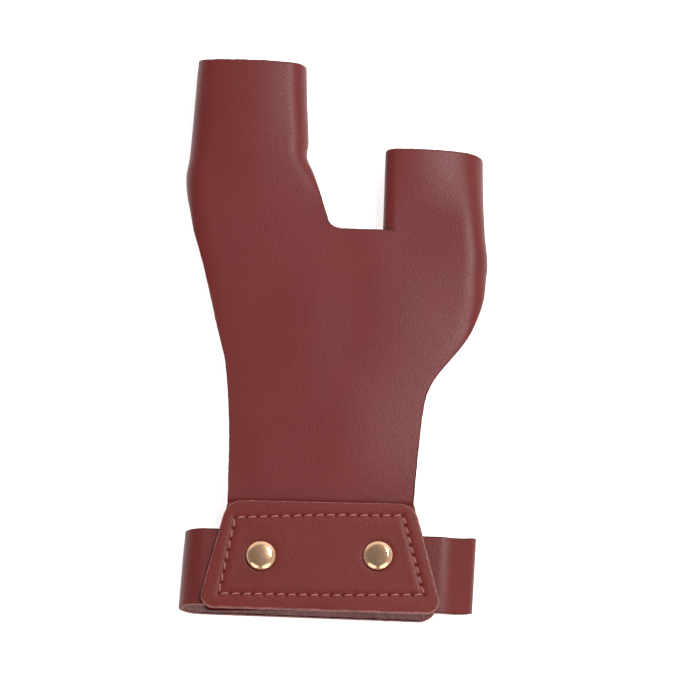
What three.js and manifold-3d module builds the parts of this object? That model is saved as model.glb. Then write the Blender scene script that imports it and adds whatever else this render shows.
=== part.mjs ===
// Archery glove for the bow hand: one leather sheet whose wings fold back into two stalls,
// and a riveted wrist plate that holds a two-part strap. It lies palm up, as on a table.
//
// Sizes are in millimetres. X runs across the hand, Y towards the fingertips and Z up.
// Everything is drawn from the middle of the wrist plate, then moved so that the origin is
// below the middle of the whole glove, on the table.

import * as THREE from "three";
import { mergeVertices } from "three/addons/utils/BufferGeometryUtils.js";
import Module from "manifold-3d";

// Leather and air
const leather = 1.8;
const clearance = 0.3;

// Wrist plate
const plateTopWidth = 61.4;
const plateBottomWidth = 80;
const plateHeight = 36.6;
const plateTopRadius = 6.5;
const plateBottomRadius = 4.2;

// Hand sheet
const palmLength = 98.7;
const palmCrown = 1.2;
const webWidth = 14.6;
const webOffset = 13.4;
const webCornerRadius = 3.1;
const webFall = 0.8;
const sheetInset = 0.9;
const sheetStepRun = 5;
const sheetStepInset = 2.2;
const flareFall = 0.1;

// Stalls
const indexWidth = 38;
const indexLength = 62.7;
const indexDepth = 12.4;
const indexCrown = 2;
const indexFoldRadius = 6;
const indexRimSlope = -0.04;
const indexLeftLift = 0.34;
const indexRightLift = 0.15;
const thumbWidth = 34;
const thumbLength = 28.7;
const thumbDepth = 13;
const thumbCrown = 2.2;
const thumbFoldRadius = 7.5;
const thumbRimSlope = -0.03;
const thumbCreaseRadius = 1.6;
const thumbShortWingRise = 2.5;
const seamLap = 9;

// Strap
const strapWidth = 26;
const strapDrop = 4.4;
const strapTurn = THREE.MathUtils.degToRad(-2.2);
const strapLean = THREE.MathUtils.degToRad(1.6);
const strapTuck = 8;
const strapLeftReach = 46.4;
const strapRightReach = 50.6;
const strapFoldHeight = 4.4;
const strapFoldRadius = 2.6;
const strapSlopeStart = 41;
const strapSlopeRadius = 10;
const tailReach = 38.9;
const tailRadius = 6.5;
const innerEndReach = 36.6;
const innerEndShift = 2.4;
const wristOpening = 5.4;

// Hidden hook-and-loop fastener between the two strap ends
const fastenerLength = 46;
const fastenerWidth = 18;
const fastenerThickness = 0.6;

// Rivets
const rivetSpacing = 38.4;
const rivetShift = -0.6;
const capDiameter = 10;
const capHeight = 1.7;
const capRim = 0.5;
const postDiameter = 3.2;
const backCapDiameter = 8;
const backCapHeight = 0.8;
const backCapEdge = 0.3;

// Sides of the round parts
const rivetSides = 28;

// Heights of the middle of each layer of leather above the table
const tailLevel = leather / 2;
const fastenerLevel = leather + clearance;
const innerEndLevel = fastenerLevel + fastenerThickness + clearance + leather / 2;
const sheetEndLevel = innerEndLevel + wristOpening + leather;
const strapLevel = sheetEndLevel + leather + clearance;
const plateBottom = strapLevel + leather / 2 + clearance;
const neckLevel = plateBottom - clearance - leather / 2;
const shortWingLevel = tailLevel + leather + clearance;

// Corners of the plate, as shares of its width at that end and of its height
const plateCorners = [
  { name: "top left", across: -0.507, along: 0.525 },
  { name: "top right", across: 0.501, along: 0.487 },
  { name: "bottom right", across: 0.5, along: -0.541 },
  { name: "bottom left", across: -0.51, along: -0.472 },
];

// Edges of the palm from the plate (along 0) to the web (along 1). Left and right are shares
// of the way out from the wrist to the hand; the rolls say how far each edge has turned back.
const palmRows = [
  { along: 0.0, left: 0.0, right: 0.0, rollLeft: 0, rollRight: 0 },
  { along: 0.23, left: -0.026, right: 0.086, rollLeft: 0, rollRight: 0 },
  { along: 0.374, left: 0.014, right: 0.17, rollLeft: 0, rollRight: 0 },
  { along: 0.447, left: 0.06, right: 0.289, rollLeft: 0, rollRight: 0.02 },
  { along: 0.519, left: 0.122, right: 0.503, rollLeft: 0, rollRight: 0.05 },
  { along: 0.593, left: 0.254, right: 0.714, rollLeft: 0.02, rollRight: 0.12 },
  { along: 0.667, left: 0.38, right: 0.85, rollLeft: 0.04, rollRight: 0.28 },
  { along: 0.744, left: 0.505, right: 0.953, rollLeft: 0.06, rollRight: 0.55 },
  { along: 0.823, left: 0.632, right: 1.003, rollLeft: 0.1, rollRight: 0.88 },
  { along: 0.886, left: 0.75, right: 1.03, rollLeft: 0.14, rollRight: 1 },
  { along: 1.0, left: 1.0, right: 1.0, rollLeft: 0.25, rollRight: 1 },
];

// Edges of each stall from the web (along 0) to its rim (along 1), as shares of its width
// out from its middle line.
const indexRows = [
  { along: 0.0, left: 0.501, right: 0.729, rollLeft: 0.25, rollRight: 0 },
  { along: 0.127, left: 0.54, right: 0.668, rollLeft: 0.45, rollRight: 0 },
  { along: 0.217, left: 0.574, right: 0.614, rollLeft: 0.75, rollRight: 0.1 },
  { along: 0.334, left: 0.594, right: 0.556, rollLeft: 1, rollRight: 0.35 },
  { along: 0.444, left: 0.568, right: 0.504, rollLeft: 1, rollRight: 0.75 },
  { along: 0.543, left: 0.554, right: 0.521, rollLeft: 1, rollRight: 1 },
  { along: 0.8, left: 0.523, right: 0.506, rollLeft: 1, rollRight: 1 },
  { along: 1.0, left: 0.5, right: 0.5, rollLeft: 1, rollRight: 1 },
];
const thumbRows = [
  { along: 0.0, left: 0.529, right: 0.506, rollLeft: 1, rollRight: 1 },
  { along: 0.44, left: 0.515, right: 0.497, rollLeft: 1, rollRight: 1 },
  { along: 1.0, left: 0.5, right: 0.5, rollLeft: 1, rollRight: 1 },
];

const { lerp, clamp } = THREE.MathUtils;

// A value of a table's column between its rows, on a smooth curve through them
function read(rows, column, along) {
  const last = rows.length - 1;
  const k = clamp(rows.findIndex((row) => row.along > along) - 1, 0, last - 1);
  const i = along >= rows[last].along ? last - 1 : k;
  const slope = (n) => {
    const a = rows[Math.max(n - 1, 0)];
    const b = rows[Math.min(n + 1, last)];
    return (b[column] - a[column]) / (b.along - a.along);
  };
  const run = rows[i + 1].along - rows[i].along;
  const t = clamp((along - rows[i].along) / run, 0, 1);
  const start = rows[i][column] * (1 + 2 * t) * (1 - t) ** 2 + slope(i) * run * t * (1 - t) ** 2;
  const end = rows[i + 1][column] * t * t * (3 - 2 * t) + slope(i + 1) * run * t * t * (t - 1);
  return start + end;
}

function ease(t) {
  const s = clamp(t, 0, 1);
  return s * s * (3 - 2 * s);
}

function steps(count) {
  return Array.from({ length: count + 1 }, (_, k) => k / count);
}

// Leather skins: a middle surface made of patches, thickened to both sides

class Skin {
  constructor() {
    this.points = [];
    this.triangles = [];
    this.places = new Map();
  }

  point(p) {
    const key = [p.x, p.y, p.z].map((v) => Math.round(v * 2000)).join(" ");
    if (!this.places.has(key)) {
      this.places.set(key, this.points.length);
      this.points.push(p);
    }
    return this.places.get(key);
  }

  // Rows of points, each from left to right, the rows one above the other
  patch(rows) {
    const net = rows.map((row) => row.map((p) => this.point(p)));
    for (let j = 0; j + 1 < net.length; j += 1) {
      for (let i = 0; i + 1 < net[j].length; i += 1) {
        this.face(net[j][i], net[j][i + 1], net[j + 1][i + 1]);
        this.face(net[j][i], net[j + 1][i + 1], net[j + 1][i]);
      }
    }
  }

  face(a, b, c) {
    if (a !== b && b !== c && c !== a) {
      this.triangles.push([a, b, c]);
    }
  }

  normals() {
    const normals = this.points.map(() => new THREE.Vector3());
    const along = new THREE.Vector3();
    const across = new THREE.Vector3();
    for (const corners of this.triangles) {
      corners.forEach((corner, k) => {
        const p = this.points[corner];
        along.subVectors(this.points[corners[(k + 1) % 3]], p).normalize();
        across.subVectors(this.points[corners[(k + 2) % 3]], p).normalize();
        const weight = along.angleTo(across);
        const normal = new THREE.Vector3().crossVectors(along, across).normalize();
        normals[corner].addScaledVector(normal, weight);
      });
    }
    return normals.map((normal) => normal.normalize());
  }

  // Closed body: outer faces, inner faces, and a cut edge all the way round
  thicken(thickness) {
    const normals = this.normals();
    const count = this.points.length;
    const position = new Float32Array(count * 6);
    this.points.forEach((p, k) => {
      p.clone().addScaledVector(normals[k], thickness / 2).toArray(position, k * 3);
      p.clone().addScaledVector(normals[k], -thickness / 2).toArray(position, (count + k) * 3);
    });
    const index = [];
    const sidesOf = ([a, b, c]) => [`${a} ${b}`, `${b} ${c}`, `${c} ${a}`];
    const sides = new Set(this.triangles.flatMap(sidesOf));
    for (const [a, b, c] of this.triangles) {
      index.push(a, b, c, count + a, count + c, count + b);
      for (const [from, to] of [[a, b], [b, c], [c, a]]) {
        if (!sides.has(`${to} ${from}`)) {
          index.push(to, from, count + from, to, count + from, count + to);
        }
      }
    }
    const geometry = new THREE.BufferGeometry();
    geometry.setAttribute("position", new THREE.BufferAttribute(position, 3));
    geometry.setIndex(index);
    return geometry;
  }
}

// Plate outline, also followed by the flared end of the hand sheet under it

function plateCorner(name) {
  const { across, along } = plateCorners.find((corner) => corner.name === name);
  return name.startsWith("top")
    ? { x: across * plateTopWidth, y: along * plateHeight, radius: plateTopRadius }
    : { x: across * plateBottomWidth, y: along * plateHeight, radius: plateBottomRadius };
}

function plateSide(side, y) {
  const top = plateCorner(`top ${side}`);
  const bottom = plateCorner(`bottom ${side}`);
  return lerp(bottom.x, top.x, (y - bottom.y) / (top.y - bottom.y));
}

const plateTopY = (plateCorner("top left").y + plateCorner("top right").y) / 2;
const webY = plateTopY + palmLength;

// Stalls: where each stands, how deep it is, and where its folds and wings are

const webLeft = webOffset - webWidth / 2;
const webRight = webOffset + webWidth / 2;

const indexStall = {
  rows: indexRows,
  width: indexWidth,
  length: indexLength,
  depth: indexDepth,
  crown: indexCrown,
  foldRadius: indexFoldRadius,
  rimSlope: indexRimSlope,
  leftLift: indexLeftLift,
  rightLift: indexRightLift,
  middle: webLeft - webCornerRadius - indexRows[0].right * indexWidth,
};
const thumbStall = {
  rows: thumbRows,
  width: thumbWidth,
  length: thumbLength,
  depth: thumbDepth,
  crown: thumbCrown,
  foldRadius: thumbFoldRadius,
  rimSlope: thumbRimSlope,
  leftLift: 0,
  rightLift: 0,
  middle: webRight + thumbRows[0].left * thumbWidth,
};

// Where the wings start on the folds: the index's as shares of its stall, the thumb's of the palm
const indexLongWingStart = 0.334;
const indexShortWingStart = 0.53;
const thumbLongWingStart = 0.88;

// Share of a wing's slanted lower edge that it rises in the turn of its fold
const turnShareOfSlant = 0.15;

// Shares of the palm's width between which it passes from the index's height to the thumb's
const levelChange = { from: 0.5, to: 0.65 };

// Share of a crown that stands above the named height at its top, the rest falls at the edges,
// and how far left of the thumb stall's middle its top is, as a share of half the width
const crownCentre = 0.5;
const thumbApex = -0.3;

function stallEdge(stall, side, y) {
  const along = (y - webY) / stall.length;
  const share = read(stall.rows, side, along);
  return stall.middle + (side === "left" ? -share : share) * stall.width;
}

function stallRoll(stall, side, y) {
  return read(stall.rows, side === "left" ? "rollLeft" : "rollRight", (y - webY) / stall.length);
}

// Height of the rim cut over a stall, which falls a little to the right
function rimY(stall, x) {
  return webY + stall.length + stall.rimSlope * (x - stall.middle);
}

function topLevel(stall) {
  return stall.depth - leather / 2;
}

// The web is cut a little lower towards the thumb
function webDrop(x) {
  return webFall * ease((x - webLeft) / webWidth);
}

// The corner between the web and the index stall is cut round
function webFillet(y) {
  const up = clamp(y - webY, 0, webCornerRadius);
  return webCornerRadius - Math.sqrt(webCornerRadius ** 2 - (webCornerRadius - up) ** 2);
}

// Columns across the front: inset is a share of the fold radius, fall a share of the fold's drop
const foldSteps = 4;
const flatSteps = 5;
const webSteps = 3;

const foldColumns = steps(foldSteps).map((share) => ({
  inset: 1 - Math.cos((share * Math.PI) / 2),
  fall: 1 - Math.sin((share * Math.PI) / 2),
}));

// One row of points over a front: fold, flat and fold between two edges. A lift raises the row
// towards the rim as its fold falls away
function frontRow(place) {
  const { left, right, leftRadius, rightRadius, hasLeftFold } = place;
  const row = [];
  const put = (x, fall, lift) => {
    row.push(new THREE.Vector3(x, place.y(x) + lift * fall, place.level(x) - fall));
  };
  if (hasLeftFold) {
    for (const { inset, fall } of foldColumns.slice(0, -1)) {
      put(left + inset * leftRadius, fall * place.leftDrop, place.leftLift);
    }
  }
  for (const share of place.flats) {
    put(lerp(left + leftRadius, right - rightRadius, share), 0, 0);
  }
  for (const { inset, fall } of foldColumns.slice(0, -1).reverse()) {
    put(right - inset * rightRadius, fall * place.rightDrop, place.rightLift);
  }
  return row;
}

function stallLevel(stall, x, along) {
  const across = ((x - stall.middle) / stall.width) * 2 - (stall === thumbStall ? thumbApex : 0);
  return topLevel(stall) + stall.crown * ease(along) * (crownCentre - across * across);
}

// A front row of a stall at height y; above rimBase the rows lean into the slope of the rim
function stallRow(stall, y, rimBase) {
  const rollLeft = stallRoll(stall, "left", y);
  const rollRight = stallRoll(stall, "right", y);
  const isIndex = stall === indexStall;
  const along = (y - webY) / stall.length;
  const drop = topLevel(stall) - stall.depth / 2;
  const share = clamp((y - rimBase) / (webY + stall.length - rimBase), 0, 1);
  return frontRow({
    left: stallEdge(stall, "left", y) + (rollLeft * leather) / 2,
    right: stallEdge(stall, "right", y) - (rollRight * leather) / 2 + (isIndex ? webFillet(y) : 0),
    leftRadius: isIndex ? stall.foldRadius : thumbCreaseRadius,
    rightRadius: stall.foldRadius,
    hasLeftFold: isIndex,
    leftDrop: rollLeft * drop,
    rightDrop: rollRight * drop,
    flats: steps(flatSteps),
    leftLift: share * stall.leftLift,
    rightLift: share * stall.rightLift,
    level: (x) => stallLevel(stall, x, along),
    y: (x) => y - (1 - ease(along)) * webDrop(x) + share * (rimY(stall, x) - webY - stall.length),
  });
}

// Hand sheet: palm, both stall fronts, and the four wings that close the stalls behind

function handSheet() {
  const skin = new Skin();
  const rimIndex = webY + indexStall.length;
  const rimThumb = webY + thumbStall.length;
  const indexLong = webY + indexLongWingStart * indexStall.length;
  const indexShort = webY + indexShortWingStart * indexStall.length;
  const cornerTop = webY + webCornerRadius;
  const cornerRows = steps(4).map((s) => webY + webCornerRadius * (1 - Math.cos((s * Math.PI) / 2)));
  const indexYs = [
    ...cornerRows,
    ...steps(4).slice(1).map((s) => lerp(cornerTop, indexLong, s)),
    ...steps(3).slice(1).map((s) => lerp(indexLong, indexShort, s)),
    ...steps(5).slice(1).map((s) => lerp(indexShort, rimIndex, s)),
  ];
  const thumbYs = steps(6).map((s) => lerp(webY, rimThumb, s));
  const indexFront = indexYs.map((y) => stallRow(indexStall, y, indexShort));
  const thumbFront = thumbYs.map((y) => stallRow(thumbStall, y, webY));
  skin.patch(indexFront);
  skin.patch(thumbFront);

  const web = webPoints(indexFront[0].at(-1), thumbFront[0][0]);
  const palm = palmRowsOfPoints([...indexFront[0], ...web, ...thumbFront[0]]);
  skin.patch(palm.rows);

  // Columns of points down the folds, from where each wing starts up to the rim
  const above = (rows, ys, start) => rows.filter((_, k) => ys[k] > start - 1e-6);
  const palmRight = above(palm.rows, palm.ys, palm.wingStart);
  addWing(skin, above(indexFront, indexYs, indexLong).map((row) => row[0]), {
    stall: indexStall, from: "left", isLong: true, rise: indexShort - indexLong,
  });
  addWing(skin, above(indexFront, indexYs, indexShort).map((row) => row.at(-1)), {
    stall: indexStall, from: "right", isLong: false, rise: leather,
  });
  addWing(skin, [...palmRight, ...thumbFront.slice(1)].map((row) => row.at(-1)), {
    stall: thumbStall, from: "right", isLong: true, rise: webY - palm.wingStart,
  });
  addCreasedWing(skin, thumbFront.map((row) => row[0]));
  return skin.thicken(leather);
}

function webPoints(from, to) {
  return steps(webSteps).slice(1, -1).map((s) => new THREE.Vector3().lerpVectors(from, to, s));
}

// Rows of the palm from the flared end under the plate up to the web
function palmRowsOfPoints(webRow) {
  const left = webRow[0].x;
  const right = webRow.at(-1).x;
  const inner = { left: left + indexStall.foldRadius, right: right - thumbStall.foldRadius };
  const flats = webRow
    .slice(foldSteps, webRow.length - foldSteps)
    .map((p) => (p.x - inner.left) / (inner.right - inner.left));
  const endY = (plateCorner("bottom left").y + plateCorner("bottom right").y) / 2 + sheetInset;
  const stepTop = plateTopY - sheetStepInset;
  const stepBottom = stepTop - sheetStepRun;
  const wingStart = lerp(plateTopY, webY, thumbLongWingStart);
  const ys = [
    ...steps(3).map((s) => endY + plateBottomRadius * (1 - Math.cos((s * Math.PI) / 2))),
    ...steps(2).slice(1).map((s) => lerp(endY + plateBottomRadius, stepBottom, s)),
    ...steps(3).slice(1).map((s) => lerp(stepBottom, stepTop, s)),
    plateTopY,
    ...steps(13).slice(1).map((s) => lerp(plateTopY, wingStart, s)),
    ...steps(3).slice(1, -1).map((s) => lerp(wingStart, webY, s)),
  ];
  const rows = ys.map((y) => palmRow(y, { flats, endY, stepBottom, stepTop, wingStart }));
  return { ys: [...ys, webY], rows: [...rows, webRow], wingStart };
}

function palmRow(y, { flats, endY, stepBottom, stepTop, wingStart }) {
  const along = (y - plateTopY) / palmLength;
  const inPlate = y < plateTopY;
  const rollLeft = inPlate ? 0 : read(palmRows, "rollLeft", along);
  const rollRight = inPlate ? 0 : read(palmRows, "rollRight", along);
  const up = clamp(y - endY, 0, plateBottomRadius);
  const fillet = plateBottomRadius - Math.sqrt(plateBottomRadius ** 2 - (plateBottomRadius - up) ** 2);
  const edge = (side, hand) => {
    const sign = side === "left" ? -1 : 1;
    const neck = plateSide(side, plateTopY);
    const inset = sheetInset * ease((plateTopY - y) / plateHeight) + fillet;
    return inPlate ? plateSide(side, y) - sign * inset : lerp(neck, hand, read(palmRows, side, along));
  };
  const left = edge("left", stallEdge(indexStall, "left", webY));
  const right = edge("right", stallEdge(thumbStall, "right", webY));
  const middle = (left + right) / 2;
  const level = (x) => {
    const share = (x - left) / (right - left);
    const change = ease((share - levelChange.from) / (levelChange.to - levelChange.from));
    const hand = lerp(topLevel(indexStall), topLevel(thumbStall), change);
    const neck = lerp(sheetEndLevel, neckLevel, ease((y - stepBottom) / (stepTop - stepBottom)));
    const across = (x - middle) / ((right - left) / 2);
    const swell = inPlate ? 0 : palmCrown * Math.sin(Math.PI * clamp(along, 0, 1));
    const crown = swell * (crownCentre - across * across);
    const flare = clamp((stepBottom - y) / (stepBottom - endY), 0, 1);
    const fall = flareFall * across * across * (inPlate ? 1 + flare : 1 - ease(along));
    return lerp(neck, hand, inPlate ? 0 : ease(along)) + crown - fall;
  };
  return frontRow({
    left: left + (rollLeft * leather) / 2,
    right: right - (rollRight * leather) / 2,
    leftRadius: indexStall.foldRadius,
    rightRadius: thumbStall.foldRadius,
    hasLeftFold: true,
    leftDrop: rollLeft * (topLevel(indexStall) - indexStall.depth / 2),
    rightDrop: rollRight * (topLevel(thumbStall) - thumbStall.depth / 2),
    leftLift: 0,
    rightLift: 0,
    flats,
    level,
    y: (x) => y - webDrop(x) * ease((y - wingStart) / (webY - wingStart)),
  });
}

// A wing turns under at a fold and runs across the back of its stall: a long one lies on the
// table and stops short of the other fold, and a short one laps over the long one's end
function addWing(skin, fold, { stall, from, isLong, rise }) {
  const way = from === "right" ? -1 : 1;
  const level = isLong ? tailLevel : shortWingLevel;
  const base = fold[0].y;
  const top = fold.at(-1).y;
  const columns = [
    ...steps(foldSteps).map((s) => ({ turn: (s * Math.PI) / 2, run: 0 })),
    ...steps(flatSteps).slice(1).map((s) => ({ turn: Math.PI / 2, run: s })),
  ];
  const rows = fold.map((p) => {
    const share = (p.y - base) / (top - base);
    const otherEdge = stallEdge(stall, from === "left" ? "right" : "left", Math.max(p.y, webY));
    const width = Math.abs(otherEdge - p.x);
    const reach = isLong ? width - 2 * stall.foldRadius - leather / 2 : seamLap;
    return columns.map(({ turn, run }) => {
      const x = p.x + way * (stall.foldRadius * (1 - Math.cos(turn)) + reach * run);
      const z = lerp(p.z, level, Math.sin(turn));
      const lift = rise * lerp(run, Math.sin(turn), turnShareOfSlant);
      return new THREE.Vector3(x, p.y + lerp(lift, rimY(stall, x) - rimY(stall, p.x), share), z);
    });
  });
  skin.patch(from === "right" ? rows : rows.map((row) => row.slice().reverse()));
}

// The thumb's short wing turns down at a sharp crease, then under the stall. Its lower edge
// rises from the end of the web, so that the two edges part there like the lips of a slit
function addCreasedWing(skin, fold) {
  const height = fold[0].z - thumbCreaseRadius - shortWingLevel;
  const bend = Math.min(height, thumbFoldRadius - leather / 2);
  const turns = steps(foldSteps).map((s) => (s * Math.PI) / 2);
  const rows = fold.map((p) => {
    const share = (p.y - fold[0].y) / (fold.at(-1).y - fold[0].y);
    const row = [p];
    const put = (x, z, lift = 1) => {
      const y = p.y + lerp(lift * thumbShortWingRise, thumbStall.rimSlope * (x - p.x), share);
      row.push(new THREE.Vector3(x, y, z));
    };
    const wall = p.x - thumbCreaseRadius;
    for (const turn of turns.slice(1)) {
      const fall = thumbCreaseRadius * (1 - Math.cos(turn));
      put(p.x - thumbCreaseRadius * Math.sin(turn), p.z - fall, Math.sin(turn));
    }
    for (const turn of turns) {
      put(wall + bend * (1 - Math.cos(turn)), shortWingLevel + bend * (1 - Math.sin(turn)));
    }
    for (const s of steps(2).slice(1)) {
      put(wall + bend + seamLap * s, shortWingLevel);
    }
    return row.reverse();
  });
  skin.patch(rows);
}

// Strips: a path in the XZ plane with rounded corners, swept across the strap's width

function bentPath(corners, cornerSteps, straightSteps) {
  const spots = corners.map(({ x, z }) => new THREE.Vector2(x, z));
  const path = [];
  let from = spots[0];
  for (let k = 1; k < spots.length; k += 1) {
    const here = spots[k];
    const back = from.clone().sub(here).normalize();
    const ahead = k + 1 < spots.length ? spots[k + 1].clone().sub(here).normalize() : back;
    const half = back.angleTo(ahead) / 2;
    const radius = corners[k].radius ?? 0;
    const trim = radius > 0 ? radius / Math.tan(half) : 0;
    const start = here.clone().addScaledVector(back, trim);
    steps(straightSteps).forEach((s) => path.push(from.clone().lerp(start, s)));
    if (radius > 0) {
      const centre = here.clone().add(back.clone().add(ahead).setLength(radius / Math.sin(half)));
      const spoke = start.clone().sub(centre);
      const sweep = Math.sign(back.cross(spoke)) * (Math.PI - 2 * half);
      steps(cornerSteps).slice(1, -1).forEach((s) => {
        path.push(centre.clone().add(spoke).rotateAround(centre, sweep * s));
      });
      from = here.clone().addScaledVector(ahead, trim);
    }
  }
  return path;
}

const endColumns = steps(3).map((s) => (s * Math.PI) / 2);

// Columns across the strap, closer together where the tail's corners are round
function strapColumns() {
  const straight = strapWidth / 2 - tailRadius;
  const sides = endColumns.map((turn) => ({
    y: straight + tailRadius * Math.sin(turn),
    cut: tailRadius * (1 - Math.cos(turn)),
  }));
  return [...sides.map(({ y, cut }) => ({ y: -y, cut })).reverse(), ...sides];
}

// A strip; shift moves it towards the hand, all the way where it lies lowest
function strip(pathAt, facesUp, shift) {
  const skin = new Skin();
  const columns = strapColumns().map(({ y, cut }) => {
    const path = pathAt(y, cut);
    const depth = strapLevel - Math.min(...path.map((spot) => spot.y));
    const shiftAt = (spot) => shift * ease((strapLevel - spot.y) / depth);
    return path.map((spot) => new THREE.Vector3(spot.x, y + shiftAt(spot), spot.y));
  });
  skin.patch(facesUp ? columns : columns.slice().reverse());
  return skin.thicken(leather);
}

function leftStrapPath(y, cut) {
  const bend = -strapLeftReach + leather / 2 + y * Math.tan(strapLean);
  const radius = (strapLevel - tailLevel) / 2;
  return bentPath([
    { x: -rivetSpacing / 2 + rivetShift + strapTuck, z: strapLevel },
    { x: bend, z: strapLevel, radius },
    { x: bend, z: tailLevel, radius },
    { x: tailReach - cut, z: tailLevel },
  ], 6, 3);
}

function rightStrapPath(y) {
  const bend = strapRightReach - leather / 2 + y * Math.tan(strapLean);
  const foldTop = innerEndLevel + strapFoldHeight;
  return bentPath([
    { x: rivetSpacing / 2 + rivetShift - strapTuck, z: strapLevel },
    { x: strapSlopeStart, z: strapLevel, radius: strapSlopeRadius },
    { x: bend, z: foldTop, radius: strapFoldRadius },
    { x: bend, z: innerEndLevel, radius: strapFoldRadius },
    { x: -innerEndReach, z: innerEndLevel },
  ], 5, 2);
}

// Joining and cutting of closed bodies

const wasm = await Module();
wasm.setup();

function toSolid(geometry) {
  const plain = geometry.clone();
  plain.deleteAttribute("normal");
  plain.deleteAttribute("uv");
  const merged = mergeVertices(plain, 1e-3);
  return new wasm.Manifold(new wasm.Mesh({
    numProp: 3,
    vertProperties: new Float32Array(merged.attributes.position.array),
    triVerts: new Uint32Array(merged.index.array),
  }));
}

function toGeometry(solid) {
  const mesh = solid.getMesh();
  const geometry = new THREE.BufferGeometry();
  geometry.setAttribute("position", new THREE.BufferAttribute(mesh.vertProperties, 3));
  geometry.setIndex(new THREE.BufferAttribute(mesh.triVerts, 1));
  return geometry;
}

const rivetSpots = [-1, 1].map((side) => new THREE.Vector2((side * rivetSpacing) / 2 + rivetShift, 0));

// A leather piece with a post hole at each given spot
function punched(geometry, spots) {
  const high = plateBottom + capHeight + leather;
  const low = innerEndLevel + leather;
  const radius = postDiameter / 2 + clearance;
  let solid = toSolid(geometry);
  for (const spot of spots) {
    const punch = new THREE.CylinderGeometry(radius, radius, high - low, rivetSides);
    punch.rotateX(Math.PI / 2);
    punch.translate(spot.x, spot.y, (high + low) / 2);
    solid = solid.subtract(toSolid(punch));
  }
  return toGeometry(solid);
}

// Plate: a trapezoid with round corners
function plateGeometry() {
  const shape = new THREE.Shape();
  const corners = plateCorners.map(({ name }) => plateCorner(name));
  corners.forEach((corner, k) => {
    const here = new THREE.Vector2(corner.x, corner.y);
    const before = corners.at(k - 1);
    const after = corners[(k + 1) % corners.length];
    const back = new THREE.Vector2(before.x, before.y).sub(here).normalize();
    const ahead = new THREE.Vector2(after.x, after.y).sub(here).normalize();
    const half = back.angleTo(ahead) / 2;
    const start = here.clone().addScaledVector(back, corner.radius / Math.tan(half));
    const centre = here.clone().add(back.clone().add(ahead).setLength(corner.radius / Math.sin(half)));
    const from = start.clone().sub(centre).angle();
    if (k === 0) {
      shape.moveTo(start.x, start.y);
    } else {
      shape.lineTo(start.x, start.y);
    }
    shape.absarc(centre.x, centre.y, corner.radius, from, from - (Math.PI - 2 * half), true);
  });
  shape.closePath();
  const plate = new THREE.ExtrudeGeometry(shape, {
    depth: leather, bevelEnabled: false, curveSegments: 10,
  });
  plate.translate(0, 0, plateBottom);
  return plate;
}

// Rivet: a low dome on a post, with a flat cap behind the sheet
function rivetGeometry() {
  const seat = plateBottom + leather + clearance;
  const backTop = sheetEndLevel - leather / 2 - clearance;
  const capRadius = capDiameter / 2;
  const dome = steps(6).map((s) => {
    const turn = (s * Math.PI) / 2;
    const height = capRim + (capHeight - capRim) * Math.cos(turn);
    return new THREE.Vector2(capRadius * Math.sin(turn), seat + height);
  });
  dome[0].x = 0;
  const profile = [
    ...dome,
    new THREE.Vector2(capRadius - capRim / 2, seat),
    new THREE.Vector2(postDiameter / 2, seat),
    new THREE.Vector2(postDiameter / 2, backTop),
    new THREE.Vector2(backCapDiameter / 2, backTop),
    new THREE.Vector2(backCapDiameter / 2, backTop - backCapHeight + backCapEdge),
    new THREE.Vector2(backCapDiameter / 2 - backCapEdge, backTop - backCapHeight),
    new THREE.Vector2(0, backTop - backCapHeight),
  ];
  const rivet = new THREE.LatheGeometry(profile.reverse(), rivetSides);
  rivet.rotateX(Math.PI / 2);
  return rivet;
}

// Fastener: one flat patch between the two ends of the strap
function fastenerGeometry() {
  const patch = new THREE.BoxGeometry(fastenerLength, fastenerWidth, fastenerThickness);
  const middle = (tailReach - innerEndReach) / 2 - tailRadius / 2;
  patch.translate(middle, 0, fastenerLevel + fastenerThickness / 2);
  return patch;
}

// Materials and the finished glove

const { MeshStandardMaterial } = THREE;
const oxblood = new MeshStandardMaterial({ color: 0x7c4340, roughness: 0.55, metalness: 0 });
const lining = new MeshStandardMaterial({ color: 0x3a2a28, roughness: 0.95, metalness: 0 });
const gold = new MeshStandardMaterial({ color: 0xd6b98c, roughness: 0.22, metalness: 1 });

function named(name, geometry, material) {
  const mesh = new THREE.Mesh(geometry, material);
  mesh.name = name;
  return mesh;
}

// The strap is drawn square, then turned with the wrist; its holes are turned back to match
const strapGroup = new THREE.Group();
strapGroup.position.set(0, -strapDrop, 0);
strapGroup.rotation.z = strapTurn;
const [leftHole, rightHole] = rivetSpots.map((spot) => {
  const fromStrap = spot.clone().add(new THREE.Vector2(0, strapDrop));
  return fromStrap.rotateAround(new THREE.Vector2(), -strapTurn);
});
const leftStrap = punched(strip(leftStrapPath, false, 0), [leftHole]);
const rightStrap = punched(strip(rightStrapPath, true, innerEndShift), [rightHole]);
strapGroup.add(named("strap_left", leftStrap, oxblood.clone()));
strapGroup.add(named("strap_right", rightStrap, oxblood.clone()));
strapGroup.add(named("strap_fastener", fastenerGeometry(), lining.clone()));

const glove = new THREE.Group();
glove.add(named("hand_sheet", punched(handSheet(), rivetSpots), oxblood.clone()));
glove.add(named("wrist_plate", punched(plateGeometry(), rivetSpots), oxblood.clone()));
glove.add(strapGroup);
["rivet_left", "rivet_right"].forEach((name, k) => {
  const rivet = named(name, rivetGeometry(), gold.clone());
  rivet.position.set(rivetSpots[k].x, rivetSpots[k].y, 0);
  glove.add(rivet);
});

const box = new THREE.Box3().setFromObject(glove);
const middle = box.getCenter(new THREE.Vector3());
glove.position.set(-middle.x, -middle.y, -box.min.z);

export default glove;
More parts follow.
